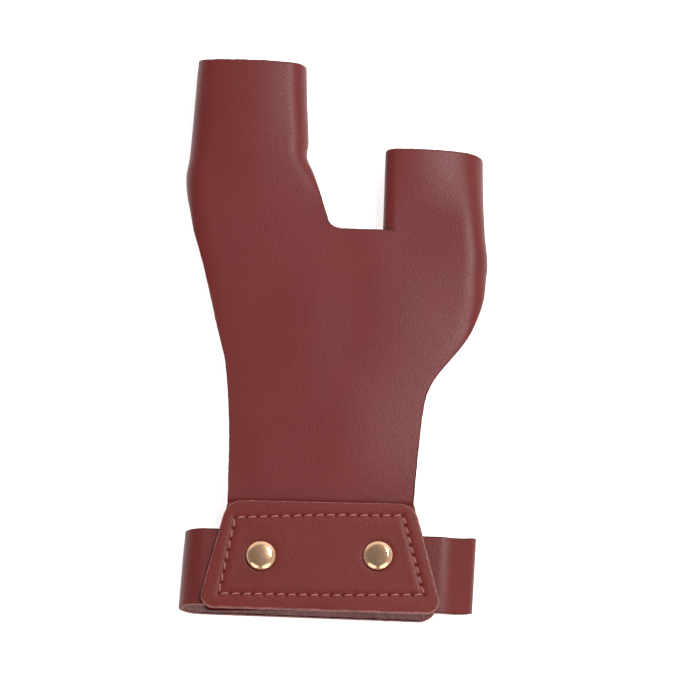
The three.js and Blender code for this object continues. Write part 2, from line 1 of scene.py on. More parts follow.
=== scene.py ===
# %% [markdown]
# # An archery glove for the bow hand
#
# The glove is one sheet of oxblood leather. Its wings fold back into two open stalls, for the
# index finger and the thumb, and a riveted plate at the wrist holds a strap. It lies palm up.
# The solids of the finished part are loaded first as a fixed frame. Every piece below is made
# again with a finer surface, in the same place, so that it can show rounded cut edges, needle
# holes and thread. Sizes are in millimetres, as at the bench, and become metres at the end.

import math

import bpy
import numpy as np
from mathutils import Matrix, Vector, geometry, noise


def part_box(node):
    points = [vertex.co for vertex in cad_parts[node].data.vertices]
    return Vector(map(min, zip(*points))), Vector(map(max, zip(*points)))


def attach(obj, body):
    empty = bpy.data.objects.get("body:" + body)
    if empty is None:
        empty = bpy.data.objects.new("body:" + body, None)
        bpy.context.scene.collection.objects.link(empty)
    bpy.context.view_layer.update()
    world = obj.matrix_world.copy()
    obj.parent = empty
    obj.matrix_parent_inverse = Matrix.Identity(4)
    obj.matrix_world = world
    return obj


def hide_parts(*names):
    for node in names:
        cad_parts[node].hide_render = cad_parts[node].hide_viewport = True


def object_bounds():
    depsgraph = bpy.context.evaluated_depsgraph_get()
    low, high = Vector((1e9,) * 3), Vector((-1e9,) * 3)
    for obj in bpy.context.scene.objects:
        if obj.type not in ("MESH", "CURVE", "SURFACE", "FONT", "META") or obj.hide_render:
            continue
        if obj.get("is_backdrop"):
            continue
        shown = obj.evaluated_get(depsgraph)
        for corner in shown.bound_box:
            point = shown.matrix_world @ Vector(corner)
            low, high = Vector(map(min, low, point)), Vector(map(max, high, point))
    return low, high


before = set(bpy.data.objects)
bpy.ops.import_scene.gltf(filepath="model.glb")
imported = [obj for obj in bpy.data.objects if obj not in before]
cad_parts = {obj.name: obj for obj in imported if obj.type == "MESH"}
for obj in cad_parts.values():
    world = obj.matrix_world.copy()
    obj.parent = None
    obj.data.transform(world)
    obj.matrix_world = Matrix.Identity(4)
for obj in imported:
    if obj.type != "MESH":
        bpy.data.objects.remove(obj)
frame_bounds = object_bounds()
print("solids in the frame:", ", ".join(sorted(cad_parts)))

# %% [markdown]
# ## Where the drawing starts
#
# A maker draws the pattern from the middle of the wrist plate, because the plate and its two
# rivets line everything up. The frame has its origin below the middle of the whole glove, so
# the middle of the plate is found from the two rivets. Reading it from the frame keeps every
# piece on its solid even if the whole glove is laid down a little differently.

# %% Middle of the wrist plate
MM = 0.001
RIVET_SHIFT = -0.6

rivet_boxes = [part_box(name) for name in ("rivet_left", "rivet_right")]
rivet_middles = [(low + high) / 2 / MM for low, high in rivet_boxes]
plate_middle = (rivet_middles[0] + rivet_middles[1]) / 2 - Vector((RIVET_SHIFT, 0, 0))
plate_middle.z = 0
RIVET_SPACING = rivet_middles[1].x - rivet_middles[0].x
print(f"plate middle at {plate_middle.x:.2f}, {plate_middle.y:.2f} mm")
print(f"rivets {RIVET_SPACING:.1f} mm apart")

# %% [markdown]
# ## Sizes of the leather
#
# These are the sizes of the pattern: the plate, the hand sheet, the two stalls and the strap.
# All of the leather has one thickness, and every layer lies on the one below with a hair of
# air between, so the heights of the layers follow from the thickness alone.

# %% Named sizes
LEATHER = 1.8
CLEARANCE = 0.3

PLATE_HEIGHT = 36.6
PLATE_TOP_WIDTH = 61.4
PLATE_BOTTOM_WIDTH = 80
PLATE_TOP_RADIUS = 6.5
PLATE_BOTTOM_RADIUS = 4.2

PALM_LENGTH = 98.7
PALM_CROWN = 1.2
WEB_WIDTH = 14.6
WEB_OFFSET = 13.4
WEB_CORNER_RADIUS = 3.1
SHEET_INSET = 0.9
SHEET_STEP_RUN = 5
SHEET_STEP_INSET = 2.2
FLARE_FALL = 0.1
WEB_FALL = 0.8
THUMB_SHORT_WING_RISE = 1.0
SEAM_LAP = 9

STRAP_WIDTH = 26
STRAP_DROP = 4.4
STRAP_TURN = math.radians(-2.2)
STRAP_LEAN = math.radians(1.6)
STRAP_TUCK = 8
STRAP_LEFT_REACH = 46.4
STRAP_RIGHT_REACH = 50.6
STRAP_FOLD_HEIGHT = 4.4
STRAP_FOLD_RADIUS = 2.6
STRAP_SLOPE_START = 41
STRAP_SLOPE_RADIUS = 10
TAIL_REACH = 38.9
TAIL_RADIUS = 6.5
INNER_END_REACH = 36.6
INNER_END_SHIFT = 2.4
WRIST_OPENING = 5.4

FASTENER_LENGTH = 46
FASTENER_WIDTH = 18
FASTENER_THICKNESS = 0.6

# %% Heights of the layers above the table
TAIL_LEVEL = LEATHER / 2
FASTENER_LEVEL = LEATHER + CLEARANCE
INNER_END_LEVEL = FASTENER_LEVEL + FASTENER_THICKNESS + CLEARANCE + LEATHER / 2
SHEET_END_LEVEL = INNER_END_LEVEL + WRIST_OPENING + LEATHER
STRAP_LEVEL = SHEET_END_LEVEL + LEATHER + CLEARANCE
PLATE_BOTTOM = STRAP_LEVEL + LEATHER / 2 + CLEARANCE
NECK_LEVEL = PLATE_BOTTOM - CLEARANCE - LEATHER / 2
SHORT_WING_LEVEL = TAIL_LEVEL + LEATHER + CLEARANCE
print(f"the plate's face is {PLATE_BOTTOM + LEATHER:.1f} mm above the table")

# %% [markdown]
# ## The pattern's edges
#
# A pattern maker marks the width of a piece at a few places and joins the marks with a fair
# curve. The tables do the same: each row says how far up it is, how far out the left and the
# right edge are, and how far each edge has already rolled back towards the fold above it.
# Reading between the rows with a cubic gives the same fair curve as a bent batten.

# %% Tables of edges
EDGE_COLUMNS = ("along", "left", "right", "roll_left", "roll_right")


def edge_table(*rows):
    return [dict(zip(EDGE_COLUMNS, row)) for row in rows]


palm_edges = edge_table(
    (0.0, 0.0, 0.0, 0, 0),
    (0.23, -0.026, 0.086, 0, 0),
    (0.374, 0.014, 0.17, 0, 0),
    (0.447, 0.06, 0.289, 0, 0.02),
    (0.519, 0.122, 0.503, 0, 0.05),
    (0.593, 0.254, 0.714, 0.02, 0.12),
    (0.667, 0.38, 0.85, 0.04, 0.28),
    (0.744, 0.505, 0.953, 0.06, 0.55),
    (0.823, 0.632, 1.003, 0.1, 0.88),
    (0.886, 0.75, 1.03, 0.14, 1),
    (1.0, 1.0, 1.0, 0.25, 1),
)
index_edges = edge_table(
    (0.0, 0.501, 0.729, 0.25, 0),
    (0.127, 0.54, 0.668, 0.45, 0),
    (0.217, 0.574, 0.614, 0.75, 0.1),
    (0.334, 0.594, 0.556, 1, 0.35),
    (0.444, 0.568, 0.504, 1, 0.75),
    (0.543, 0.554, 0.521, 1, 1),
    (0.8, 0.523, 0.506, 1, 1),
    (1.0, 0.5, 0.5, 1, 1),
)
thumb_edges = edge_table(
    (0.0, 0.529, 0.506, 1, 1),
    (0.44, 0.515, 0.497, 1, 1),
    (1.0, 0.5, 0.5, 1, 1),
)

# %% Plate corners, as shares of the width at that end and of the height
plate_corners = {
    "top left": (-0.507 * PLATE_TOP_WIDTH, 0.525 * PLATE_HEIGHT, PLATE_TOP_RADIUS),
    "top right": (0.501 * PLATE_TOP_WIDTH, 0.487 * PLATE_HEIGHT, PLATE_TOP_RADIUS),
    "bottom right": (0.5 * PLATE_BOTTOM_WIDTH, -0.541 * PLATE_HEIGHT, PLATE_BOTTOM_RADIUS),
    "bottom left": (-0.51 * PLATE_BOTTOM_WIDTH, -0.472 * PLATE_HEIGHT, PLATE_BOTTOM_RADIUS),
}
PLATE_TOP_Y = (plate_corners["top left"][1] + plate_corners["top right"][1]) / 2
WEB_Y = PLATE_TOP_Y + PALM_LENGTH

# %% Stalls: where each stands, how deep it is and how its folds turn
WEB_LEFT = WEB_OFFSET - WEB_WIDTH / 2
WEB_RIGHT = WEB_OFFSET + WEB_WIDTH / 2
INDEX_WIDTH = 38
THUMB_WIDTH = 34

index_stall = {
    "edges": index_edges, "width": INDEX_WIDTH, "length": 62.7, "depth": 12.8, "crown": 2,
    "fold_radius": 6, "edge_radius": 6, "rim_slope": -0.04, "rim_lifts": (0.34, 0.15), "apex": 0,
    "middle": WEB_LEFT - WEB_CORNER_RADIUS - index_edges[0]["right"] * INDEX_WIDTH,
}
thumb_stall = {
    "edges": thumb_edges, "width": THUMB_WIDTH, "length": 28.7, "depth": 13, "crown": 2.2,
    "fold_radius": 7.5, "edge_radius": 3, "rim_slope": -0.03, "rim_lifts": (0, 0), "apex": -0.42,
    "middle": WEB_RIGHT + thumb_edges[0]["left"] * THUMB_WIDTH,
}
INDEX_LONG_WING_START = 0.334
INDEX_SHORT_WING_START = 0.53
THUMB_LONG_WING_START = 0.88
TURN_SHARE_OF_SLANT = 0.15
LEVEL_CHANGE = (0.5, 0.65)
CROWN_CENTRE = 0.5

# %% Small helpers for curves


def lerp(a, b, t):
    return a + (b - a) * t


def clamp(value, low=0.0, high=1.0):
    return min(max(value, low), high)


def ease(t):
    s = clamp(t)
    return s * s * (3 - 2 * s)


def steps(count):
    return [k / count for k in range(count + 1)]


def read(rows, column, along):
    """A value of a table's column between its rows, on a smooth curve through them."""
    last = len(rows) - 1
    i = clamp(sum(row["along"] <= along for row in rows) - 1, 0, last - 1)

    def slope(n):
        a, b = rows[max(n - 1, 0)], rows[min(n + 1, last)]
        return (b[column] - a[column]) / (b["along"] - a["along"])

    run = rows[i + 1]["along"] - rows[i]["along"]
    t = clamp((along - rows[i]["along"]) / run)
    start = rows[i][column] * (1 + 2 * t) * (1 - t) ** 2 + slope(i) * run * t * (1 - t) ** 2
    end = rows[i + 1][column] * t * t * (3 - 2 * t) + slope(i + 1) * run * t * t * (t - 1)
    return start + end


base_shares = read(index_edges, "left", 0.3) + read(index_edges, "right", 0.3)
print(f"index stall is {base_shares * INDEX_WIDTH:.1f} mm wide near its base")

# %% [markdown]
# ## Leather as a skin with two sides and a cut edge
#
# Leather has a smooth grain side, a rough flesh side and a cut edge between them. A flat mesh
# with a thickness modifier would give all three, but its edges would be sharp and the three
# would be hard to tell apart. So a piece is drawn here as its middle surface, and thickened
# by hand: half the leather to each side, and a cut edge that is rounded off as a maker rounds
# it with a wet cloth. Each face remembers which of the three it is.

# %% A skin of leather
GRAIN, FLESH, EDGE = range(3)
SNAPS_PER_MM = 2000


class Skin:
    """The middle surface of a piece of leather, made of patches that share their border points."""

    def __init__(self):
        self.points = []
        self.faces = []
        self.places = {}

    def point(self, p):
        key = tuple(round(v * SNAPS_PER_MM) for v in p)
        if key not in self.places:
            self.places[key] = len(self.points)
            self.points.append(tuple(p))
        return self.places[key]

    def patch(self, rows):
        """Rows of points, each from left to right, the rows one above the other."""
        net = [[self.point(p) for p in row] for row in rows]
        for low, high in zip(net, net[1:]):
            for i in range(len(low) - 1):
                self.face(low[i], low[i + 1], high[i + 1], high[i])

    def face(self, *corners):
        ring = [c for k, c in enumerate(corners) if c != corners[k - 1]]
        if len(ring) > 2:
            self.faces.append(ring)


# %% Which way a skin faces, and where it ends


def normals_of(skin, points):
    rings = np.array([ring + ring[-1:] * (4 - len(ring)) for ring in skin.faces])
    normals = np.zeros_like(points)
    for k in range(4):
        here, ahead, back = (points[rings[:, (k + n) % 4]] for n in (0, 1, 3))
        np.add.at(normals, rings[:, k], np.cross(ahead - here, back - here))
    return normals / np.linalg.norm(normals, axis=1)[:, None]


def borders_of(skin):
    sides = {(a, b) for ring in skin.faces for a, b in zip(ring, ring[1:] + ring[:1])}
    return sorted((a, b) for a, b in sides if (b, a) not in sides)


# %% Thickening a skin, with a cut edge that is rounded off
EDGE_STEPS = 6
EDGE_ROUNDING = 0.42
EDGE_SQUARENESS = 0.7
FRAY = 0.14
FRAY_SIZE = 1.7


def thickened(skin, thickness, press=None):
    """Vertices, faces and each face's side. press sinks points of the grain side."""
    middle = np.array(skin.points, float)
    normals = normals_of(skin, middle)
    borders = borders_of(skin)
    outward = np.zeros_like(middle)
    for a, b in borders:
        run = middle[b] - middle[a]
        for end in (a, b):
            outward[end] += np.cross(run, normals[end]) / np.linalg.norm(run)
    rim = sorted({a for side in borders for a in side})
    outward[rim] /= np.linalg.norm(outward[rim], axis=1)[:, None]

    rounding = min(EDGE_ROUNDING, thickness / 2)
    for a in rim:
        middle[a] += outward[a] * FRAY * noise.noise(Vector(middle[a]) / FRAY_SIZE)
    grain = middle + normals * thickness / 2 - outward * rounding
    flesh = middle - normals * thickness / 2 - outward * rounding
    if press is not None:
        grain -= normals * press(middle)[:, None]
    levels = []
    for k in range(1, EDGE_STEPS):
        turn = math.pi * (0.5 - k / EDGE_STEPS)
        out = rounding * (abs(math.cos(turn)) ** EDGE_SQUARENESS - 1)
        up = thickness / 2 * math.copysign(abs(math.sin(turn)) ** EDGE_SQUARENESS, turn)
        levels.append(middle[rim] + outward[rim] * out + normals[rim] * up)

    count = len(middle)
    place = {a: k for k, a in enumerate(rim)}
    ladder = [lambda a: a]
    ladder += [lambda a, n=n: 2 * count + n * len(rim) + place[a] for n in range(EDGE_STEPS - 1)]
    ladder += [lambda a: count + a]
    faces = [list(ring) for ring in skin.faces]
    faces += [[count + c for c in reversed(ring)] for ring in skin.faces]
    sides = [GRAIN] * len(skin.faces) + [FLESH] * len(skin.faces)
    for a, b in borders:
        for upper, lower in zip(ladder, ladder[1:]):
            faces.append([upper(b), upper(a), lower(a), lower(b)])
            sides.append(EDGE)
    return np.vstack([grain, flesh, *levels]), faces, sides


# %% From millimetres at the bench to a piece in the frame
shown_pieces = {}


def piece(name, vertices, faces, finishes, sides=None, replaces=()):
    """Makes one piece of the glove. vertices are in millimetres from the middle of the plate."""
    mesh = bpy.data.meshes.new(name)
    places = (np.asarray(vertices, float) + np.array(plate_middle)) * MM
    mesh.from_pydata(places.tolist(), [], [list(face) for face in faces])
    for finish in finishes:
        mesh.materials.append(finish)
    if sides is not None:
        mesh.polygons.foreach_set("material_index", sides)
    mesh.polygons.foreach_set("use_smooth", [True] * len(mesh.polygons))
    mesh.update()
    made = bpy.data.objects.new(name, mesh)
    bpy.context.collection.objects.link(made)
    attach(made, "root")
    if replaces:
        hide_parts(*replaces)
    triangles = sum(len(face) - 2 for face in faces)
    shown_pieces[name] = triangles
    print(f"{name}: {triangles} triangles")
    return made


# %% [markdown]
# ## Shader arithmetic
#
# A finish is a formula: a little more red where the grain is high, a little rougher where it
# is low. Wiring it by hand takes a screen full of nodes. The small class below wraps a socket,
# so that a formula on sockets can be written as plain arithmetic, which adds the nodes.

# %% A socket that can be reckoned with


class Flow:
    """A value or vector on its way through a finish. Arithmetic on it adds the nodes."""

    def __init__(self, finish, socket):
        self.finish = finish
        self.socket = socket

    def reckon(self, operation, first, second):
        kind = "ShaderNodeVectorMath" if self.socket.type == "VECTOR" else "ShaderNodeMath"
        return self.finish.add(kind, {"operation": operation}, {0: first, 1: second})

    def __add__(self, other):
        return self.reckon("ADD", self, other)

    def __radd__(self, other):
        return self.reckon("ADD", other, self)

    def __sub__(self, other):
        return self.reckon("SUBTRACT", self, other)

    def __rsub__(self, other):
        return self.reckon("SUBTRACT", other, self)

    def __mul__(self, other):
        return self.reckon("MULTIPLY", self, other)

    def __rmul__(self, other):
        return self.reckon("MULTIPLY", other, self)

    def __abs__(self):
        return self.finish.add("ShaderNodeMath", {"operation": "ABSOLUTE"}, {0: self})


# %% Any set of nodes


class Wiring:
    """A set of nodes that is being put together."""

    def __init__(self, tree):
        self.tree = tree
        tree.nodes.clear()

    def add(self, kind, settings, inputs, output=0):
        """Any node: its type, its settings, and the values or links of its sockets."""
        node = self.tree.nodes.new(kind)
        for setting, value in settings.items():
            setattr(node, setting, value)
        by_identifier = {socket.identifier: socket for socket in node.inputs}
        for name, value in inputs.items():
            socket = by_identifier.get(name) or node.inputs[name]
            if isinstance(value, Flow):
                self.tree.links.new(value.socket, socket)
            else:
                socket.default_value = value
        if not node.outputs:
            return None
        outputs = {socket.identifier: socket for socket in node.outputs}
        return Flow(self, outputs.get(output) or node.outputs[output])

    def between(self, value, low, high):
        """0 below low, 1 above high and a smooth rise between."""
        inputs = {"Value": value, "From Min": low, "From Max": high}
        return self.add("ShaderNodeMapRange", {"interpolation_type": "SMOOTHSTEP"}, inputs)


# %% A finish of one material


class Finish(Wiring):
    """A material that is being put together."""

    def __init__(self, name):
        self.material = bpy.data.materials.new(name)
        self.material.use_nodes = True
        super().__init__(self.material.node_tree)
        place = self.add("ShaderNodeTexCoord", {}, {}, "Object")
        self.place = place * (1 / MM, 1 / MM, 1 / MM)

    def cloud(self, size, detail=2.0, stretch=(1, 1, 1), roughness=0.5):
        """Soft noise whose blobs are about size millimetres wide, stretched by the given shares."""
        place = self.place * tuple(1 / (size * share) for share in stretch)
        inputs = {"Vector": place, "Scale": 1.0, "Detail": detail, "Roughness": roughness}
        return self.add("ShaderNodeTexNoise", {}, inputs, "Fac")

    def tint(self, share, low, high):
        inputs = {"Factor_Float": share, "A_Color": low, "B_Color": high}
        return self.add("ShaderNodeMix", {"data_type": "RGBA"}, inputs, "Result_Color")

    def bump(self, height, depth, strength=1.0):
        """A bump of the given depth in millimetres."""
        inputs = {"Height": height, "Distance": depth * MM, "Strength": strength}
        return self.add("ShaderNodeBump", {}, inputs)

    def surface(self, **values):
        """The finished material. Words of a socket's name are joined by underscores."""
        inputs = {name.replace("_", " "): value for name, value in values.items()}
        shader = self.add("ShaderNodeBsdfPrincipled", {}, inputs)
        self.add("ShaderNodeOutputMaterial", {}, {"Surface": shader})
        return self.material


# %% Colours, as a painter names them, turned into light


def light_of(red, green, blue):
    """A screen colour from 0 to 255 as the linear light that shaders use."""
    def linear(value):
        share = value / 255
        return share / 12.92 if share <= 0.04045 else ((share + 0.055) / 1.055) ** 2.4
    return (linear(red), linear(green), linear(blue), 1.0)


# %% [markdown]
# ## Finish of the grain side
#
# The face of the leather is dyed oxblood and lightly waxed. Close up it is a field of tiny
# pebbles under a millimetre wide, with faint creases that run up the hand and soft clouds in
# the dye. The pebbles come from a cell pattern softened by noise, and they feed the bump. The
# tone is also painted a shade lighter on the pebble tops, a painted highlight, and a shade
# darker along the creases, a painted shade, so that the grain also shows where no highlight
# falls.

# %% Grain side
PEBBLE_SIZE = 0.62
FINE_SIZE = 0.28
CREASE_SIZE = 2.1
PATCH_SIZE = 18
GRAIN_DEPTH = 0.037
GRAIN_ROUGHNESS = 0.44
GRAIN_SHINE = 0.19


def shifted(finish, amount):
    """The place on the piece, moved about by a value, so that a regular pattern turns wild."""
    offset = finish.add("ShaderNodeCombineXYZ", {}, {"X": amount, "Y": 0.7 * amount, "Z": 0.0})
    return finish.place + offset


def grain_side(name, dark, light):
    finish = Finish(name)
    pebbles = finish.add(
        "ShaderNodeTexVoronoi", {"feature": "SMOOTH_F1"},
        {
            "Vector": shifted(finish, 0.9 * finish.cloud(2.2, 2)),
            "Scale": 1 / PEBBLE_SIZE,
            "Smoothness": 0.7,
        },
        "Distance",
    )
    pebble_tops = 1 - finish.between(pebbles, 0.15, 0.75)
    fine = finish.cloud(FINE_SIZE, 3, roughness=0.6)
    patches = finish.cloud(PATCH_SIZE, 3)
    creases = finish.cloud(CREASE_SIZE, 3, stretch=(1, 8, 2.5), roughness=0.6)
    crease_lines = finish.between(creases, 0.58, 0.72)
    tone = 0.42 + 0.24 * (patches - 0.5) + 0.1 * (fine - 0.5)
    # Painted highlight: the pebble tops are a shade lighter. Painted shade: the crease lines are a
    # shade darker.
    tone = tone + 0.08 * pebble_tops - 0.05 * crease_lines
    height = 0.6 * pebble_tops + 0.25 * fine - 0.25 * crease_lines + 0.3 * finish.cloud(4, 2)
    return finish.surface(
        Base_Color=finish.tint(tone, light_of(*dark), light_of(*light)),
        Roughness=GRAIN_ROUGHNESS + 0.1 * (patches - 0.5) - 0.06 * pebble_tops,
        Normal=finish.bump(height, GRAIN_DEPTH, 0.8),
        Specular_IOR_Level=GRAIN_SHINE,
    )


# %% [markdown]
# ## Flesh side and cut edge
#
# The back of the leather is suede: no shine, a nap of short fibres, and a paler, mauve brown
# because the dye sinks in unevenly. Where the strap was bent again and again, pale scores run
# across it. On the strap the suede is also painted lighter than on the hand, painted light that
# lifts the shaded band under the strap. The cut edge shows the layers of fibre between the two
# faces, and it is dry. It is paler on the plate and the strap. On the hand sheet it is painted
# dark, a painted shade on edges that turn away from the light.

# %% Flesh side


def flesh_side(name, dark, light, score_pitch=None):
    """Suede. score_pitch is the distance of the lines where a strap was bent."""
    finish = Finish(name)
    nap = finish.cloud(0.35, 4, stretch=(1, 2.5, 1), roughness=0.7)
    streaks = finish.cloud(0.9, 3, stretch=(0.5, 6, 4), roughness=0.6)
    clouds = finish.cloud(9, 2)
    tone = finish.between(0.45 * nap + 0.35 * streaks + 0.3 * clouds, 0.35, 0.75)
    if score_pitch:
        across = finish.add("ShaderNodeSeparateXYZ", {}, {"Vector": finish.place}, "X")
        wander = 0.05 * finish.cloud(3, 2)
        place = across * (1 / score_pitch) + wander
        lap = finish.add("ShaderNodeMath", {"operation": "FRACT"}, {0: place})
        scores = finish.between(abs(lap - 0.5), 0.478, 0.492)
        tone = finish.add("ShaderNodeMath", {"operation": "MAXIMUM"}, {0: tone, 1: 1.25 * scores})
    return finish.surface(
        Base_Color=finish.tint(tone, light_of(*dark), light_of(*light)),
        Roughness=0.95,
        Normal=finish.bump(nap + 0.6 * streaks, 0.22, 0.9),
        Specular_IOR_Level=0.2,
        Sheen_Weight=0.15,
        Sheen_Roughness=0.6,
    )


# %% Cut edge


def cut_edge(name, dark, light):
    finish = Finish(name)
    fibres = finish.cloud(0.3, 4, stretch=(2, 2, 0.8), roughness=0.7)
    clouds = finish.cloud(3, 2)
    tone = finish.between(0.6 * fibres + 0.4 * clouds, 0.35, 0.7)
    return finish.surface(
        Base_Color=finish.tint(tone, light_of(*dark), light_of(*light)),
        Roughness=0.75,
        Normal=finish.bump(fibres, 0.15, 0.8),
        Specular_IOR_Level=0.3,
    )


# %% The finishes of this glove
hand_grain = grain_side("oxblood_hand", (78, 26, 25), (120, 45, 43))
strap_grain = grain_side("oxblood_strap", (76, 26, 24), (117, 46, 42))
plate_grain = grain_side("oxblood_plate", (79, 24, 20), (122, 44, 37))
hand_suede = flesh_side("mauve_suede", (112, 74, 72), (168, 126, 122))
# Painted light: the strap's suede is lighter than the hand's, to lift the shaded band under the strap.
# Its pale scores are real.
strap_suede_painted_light = flesh_side("creased_suede_painted_light", (120, 81, 79), (182, 138, 135), score_pitch=14.8)
# Painted shade: the hand sheet's cut edge is darker than the plate's and the strap's, as on edges that
# turn away from the light.
painted_shade_edge = cut_edge("painted_shade_edge", (54, 28, 27), (108, 62, 58))
pale_edge = cut_edge("pale_edge", (96, 52, 49), (158, 98, 92))
leather_of = {
    "hand": (hand_grain, hand_suede, painted_shade_edge),
    "strap": (strap_grain, strap_suede_painted_light, pale_edge),
    "plate": (plate_grain, hand_suede, pale_edge),
}
print("finishes:", ", ".join(material.name for material in bpy.data.materials if material.use_nodes))

# %% [markdown]
# ## The hand sheet
#
# The sheet is cut in one piece: flared under the plate, narrow at the wrist, wide at the
# knuckles, with a wing on each side of the two stalls. Wet leather is folded over a form, and
# the wings turn under and lap behind. It could be simulated as cloth, but thick leather keeps
# the form it was folded on, so it is drawn row by row: fold, flat, fold. The rows are read
# from the tables, and the wings start where a row's outermost points have rolled right down.
# Each front is crowned a little and its folds start softly, and that is what shapes the bands
# of light along the stalls.

# %% Points across a row
FOLD_STEPS = 9
FLAT_STEPS = 34
WEB_STEPS = 12
FOLD_SOFTNESS = 1.25

fold_turns = [s * math.pi / 2 for s in steps(FOLD_STEPS)]
fold_columns = [(1 - math.cos(t), (1 - math.sin(t)) ** FOLD_SOFTNESS) for t in fold_turns]


def stall_edge(stall, side, y):
    share = read(stall["edges"], side, (y - WEB_Y) / stall["length"])
    return stall["middle"] + (-share if side == "left" else share) * stall["width"]


def rim_y(stall, x):
    return WEB_Y + stall["length"] + stall["rim_slope"] * (x - stall["middle"])


def top_level(stall):
    return stall["depth"] - LEATHER / 2


def fold_drop(stall):
    return top_level(stall) - stall["depth"] / 2


def web_fall(x):
    """The web is cut a little lower towards the thumb."""
    return WEB_FALL * ease((x - WEB_LEFT) / WEB_WIDTH)


def fillet(up, radius):
    """How far a rounded corner stands in from the edge, at a height above its foot."""
    return radius - math.sqrt(radius ** 2 - (radius - clamp(up, 0, radius)) ** 2)


def front_row(left, right, radii, drops, flats, level, y_at, lifts=(0, 0), has_left_fold=True):
    """One row of points over a front: fold, flat and fold between two edges."""
    row = []

    def put(x, fall, lift=0):
        row.append((x, y_at(x) + lift * fall, level(x) - fall))

    if has_left_fold:
        for inset, fall in fold_columns[:-1]:
            put(left + inset * radii[0], fall * drops[0], lifts[0])
    for share in flats:
        put(lerp(left + radii[0], right - radii[1], share), 0)
    for inset, fall in reversed(fold_columns[:-1]):
        put(right - inset * radii[1], fall * drops[1], lifts[1])
    return row


# %% Soft unevenness of leather that has been worn
WAVE_HEIGHT = 0.35
WAVE_WIDTH = 24
WAVE_LENGTH = 38.4
WAVE_SEED = 4.2
WAVE_START = 14


def wave(x, y):
    """Slow rise and fall of the front, none near the plate."""
    share = ease((y - PLATE_TOP_Y) / WAVE_START)
    return WAVE_HEIGHT * share * noise.noise(Vector((x / WAVE_WIDTH, y / WAVE_LENGTH, WAVE_SEED)))


# %% Rows of the two stalls


def stall_row(stall, y, rim_base):
    """A front row of a stall at height y. Above rim_base the rows lean into the slope of the rim."""
    along = (y - WEB_Y) / stall["length"]
    rolls = (read(stall["edges"], "roll_left", along), read(stall["edges"], "roll_right", along))
    is_index = stall is index_stall
    share = clamp((y - rim_base) / (WEB_Y + stall["length"] - rim_base))
    rise = ease(along)
    corner = fillet(y - WEB_Y, WEB_CORNER_RADIUS) if is_index else 0

    def y_at(x):
        return y - (1 - rise) * web_fall(x) + share * (rim_y(stall, x) - WEB_Y - stall["length"])

    def level(x):
        across = (x - stall["middle"]) / stall["width"] * 2 - stall["apex"]
        return top_level(stall) + stall["crown"] * rise * (CROWN_CENTRE - across * across) + wave(x, y)

    return front_row(
        left=stall_edge(stall, "left", y) + rolls[0] * LEATHER / 2,
        right=stall_edge(stall, "right", y) - rolls[1] * LEATHER / 2 + corner,
        radii=(stall["edge_radius"], stall["fold_radius"]),
        drops=(rolls[0] * fold_drop(stall), rolls[1] * fold_drop(stall)),
        flats=steps(FLAT_STEPS),
        level=level,
        y_at=y_at,
        lifts=[share * lift for lift in stall["rim_lifts"]],
        has_left_fold=is_index,
    )


# %% Edges of the palm, and the dent that the plate leaves in it


def plate_side(side, y):
    top, bottom = plate_corners[f"top {side}"], plate_corners[f"bottom {side}"]
    return lerp(bottom[0], top[0], (y - bottom[1]) / (top[1] - bottom[1]))


SHEET_END_Y = (plate_corners["bottom left"][1] + plate_corners["bottom right"][1]) / 2 + SHEET_INSET
STEP_TOP_Y = PLATE_TOP_Y - SHEET_STEP_INSET
STEP_BOTTOM_Y = STEP_TOP_Y - SHEET_STEP_RUN
WING_START_Y = lerp(PLATE_TOP_Y, WEB_Y, THUMB_LONG_WING_START)
DENT_DEPTH = 0.5
DENT_WIDTH = 0.7


def plate_dent(x, y):
    """The plate's upper edge presses a line into the sheet."""
    left, right = plate_corners["top left"], plate_corners["top right"]
    edge = lerp(left[1], right[1], (x - left[0]) / (right[0] - left[0]))
    return DENT_DEPTH * math.exp(-((y - edge) / DENT_WIDTH) ** 2)


def palm_edge(side, y):
    sign = -1 if side == "left" else 1
    if y < PLATE_TOP_Y:
        inset = SHEET_INSET * ease((PLATE_TOP_Y - y) / PLATE_HEIGHT)
        corner = fillet(y - SHEET_END_Y, PLATE_BOTTOM_RADIUS)
        return plate_side(side, y) - sign * (inset + corner)
    stall = index_stall if side == "left" else thumb_stall
    share = read(palm_edges, side, (y - PLATE_TOP_Y) / PALM_LENGTH)
    return lerp(plate_side(side, PLATE_TOP_Y), stall_edge(stall, side, WEB_Y), share)


# %% Rows of the palm, from the flared end under the plate up to the web


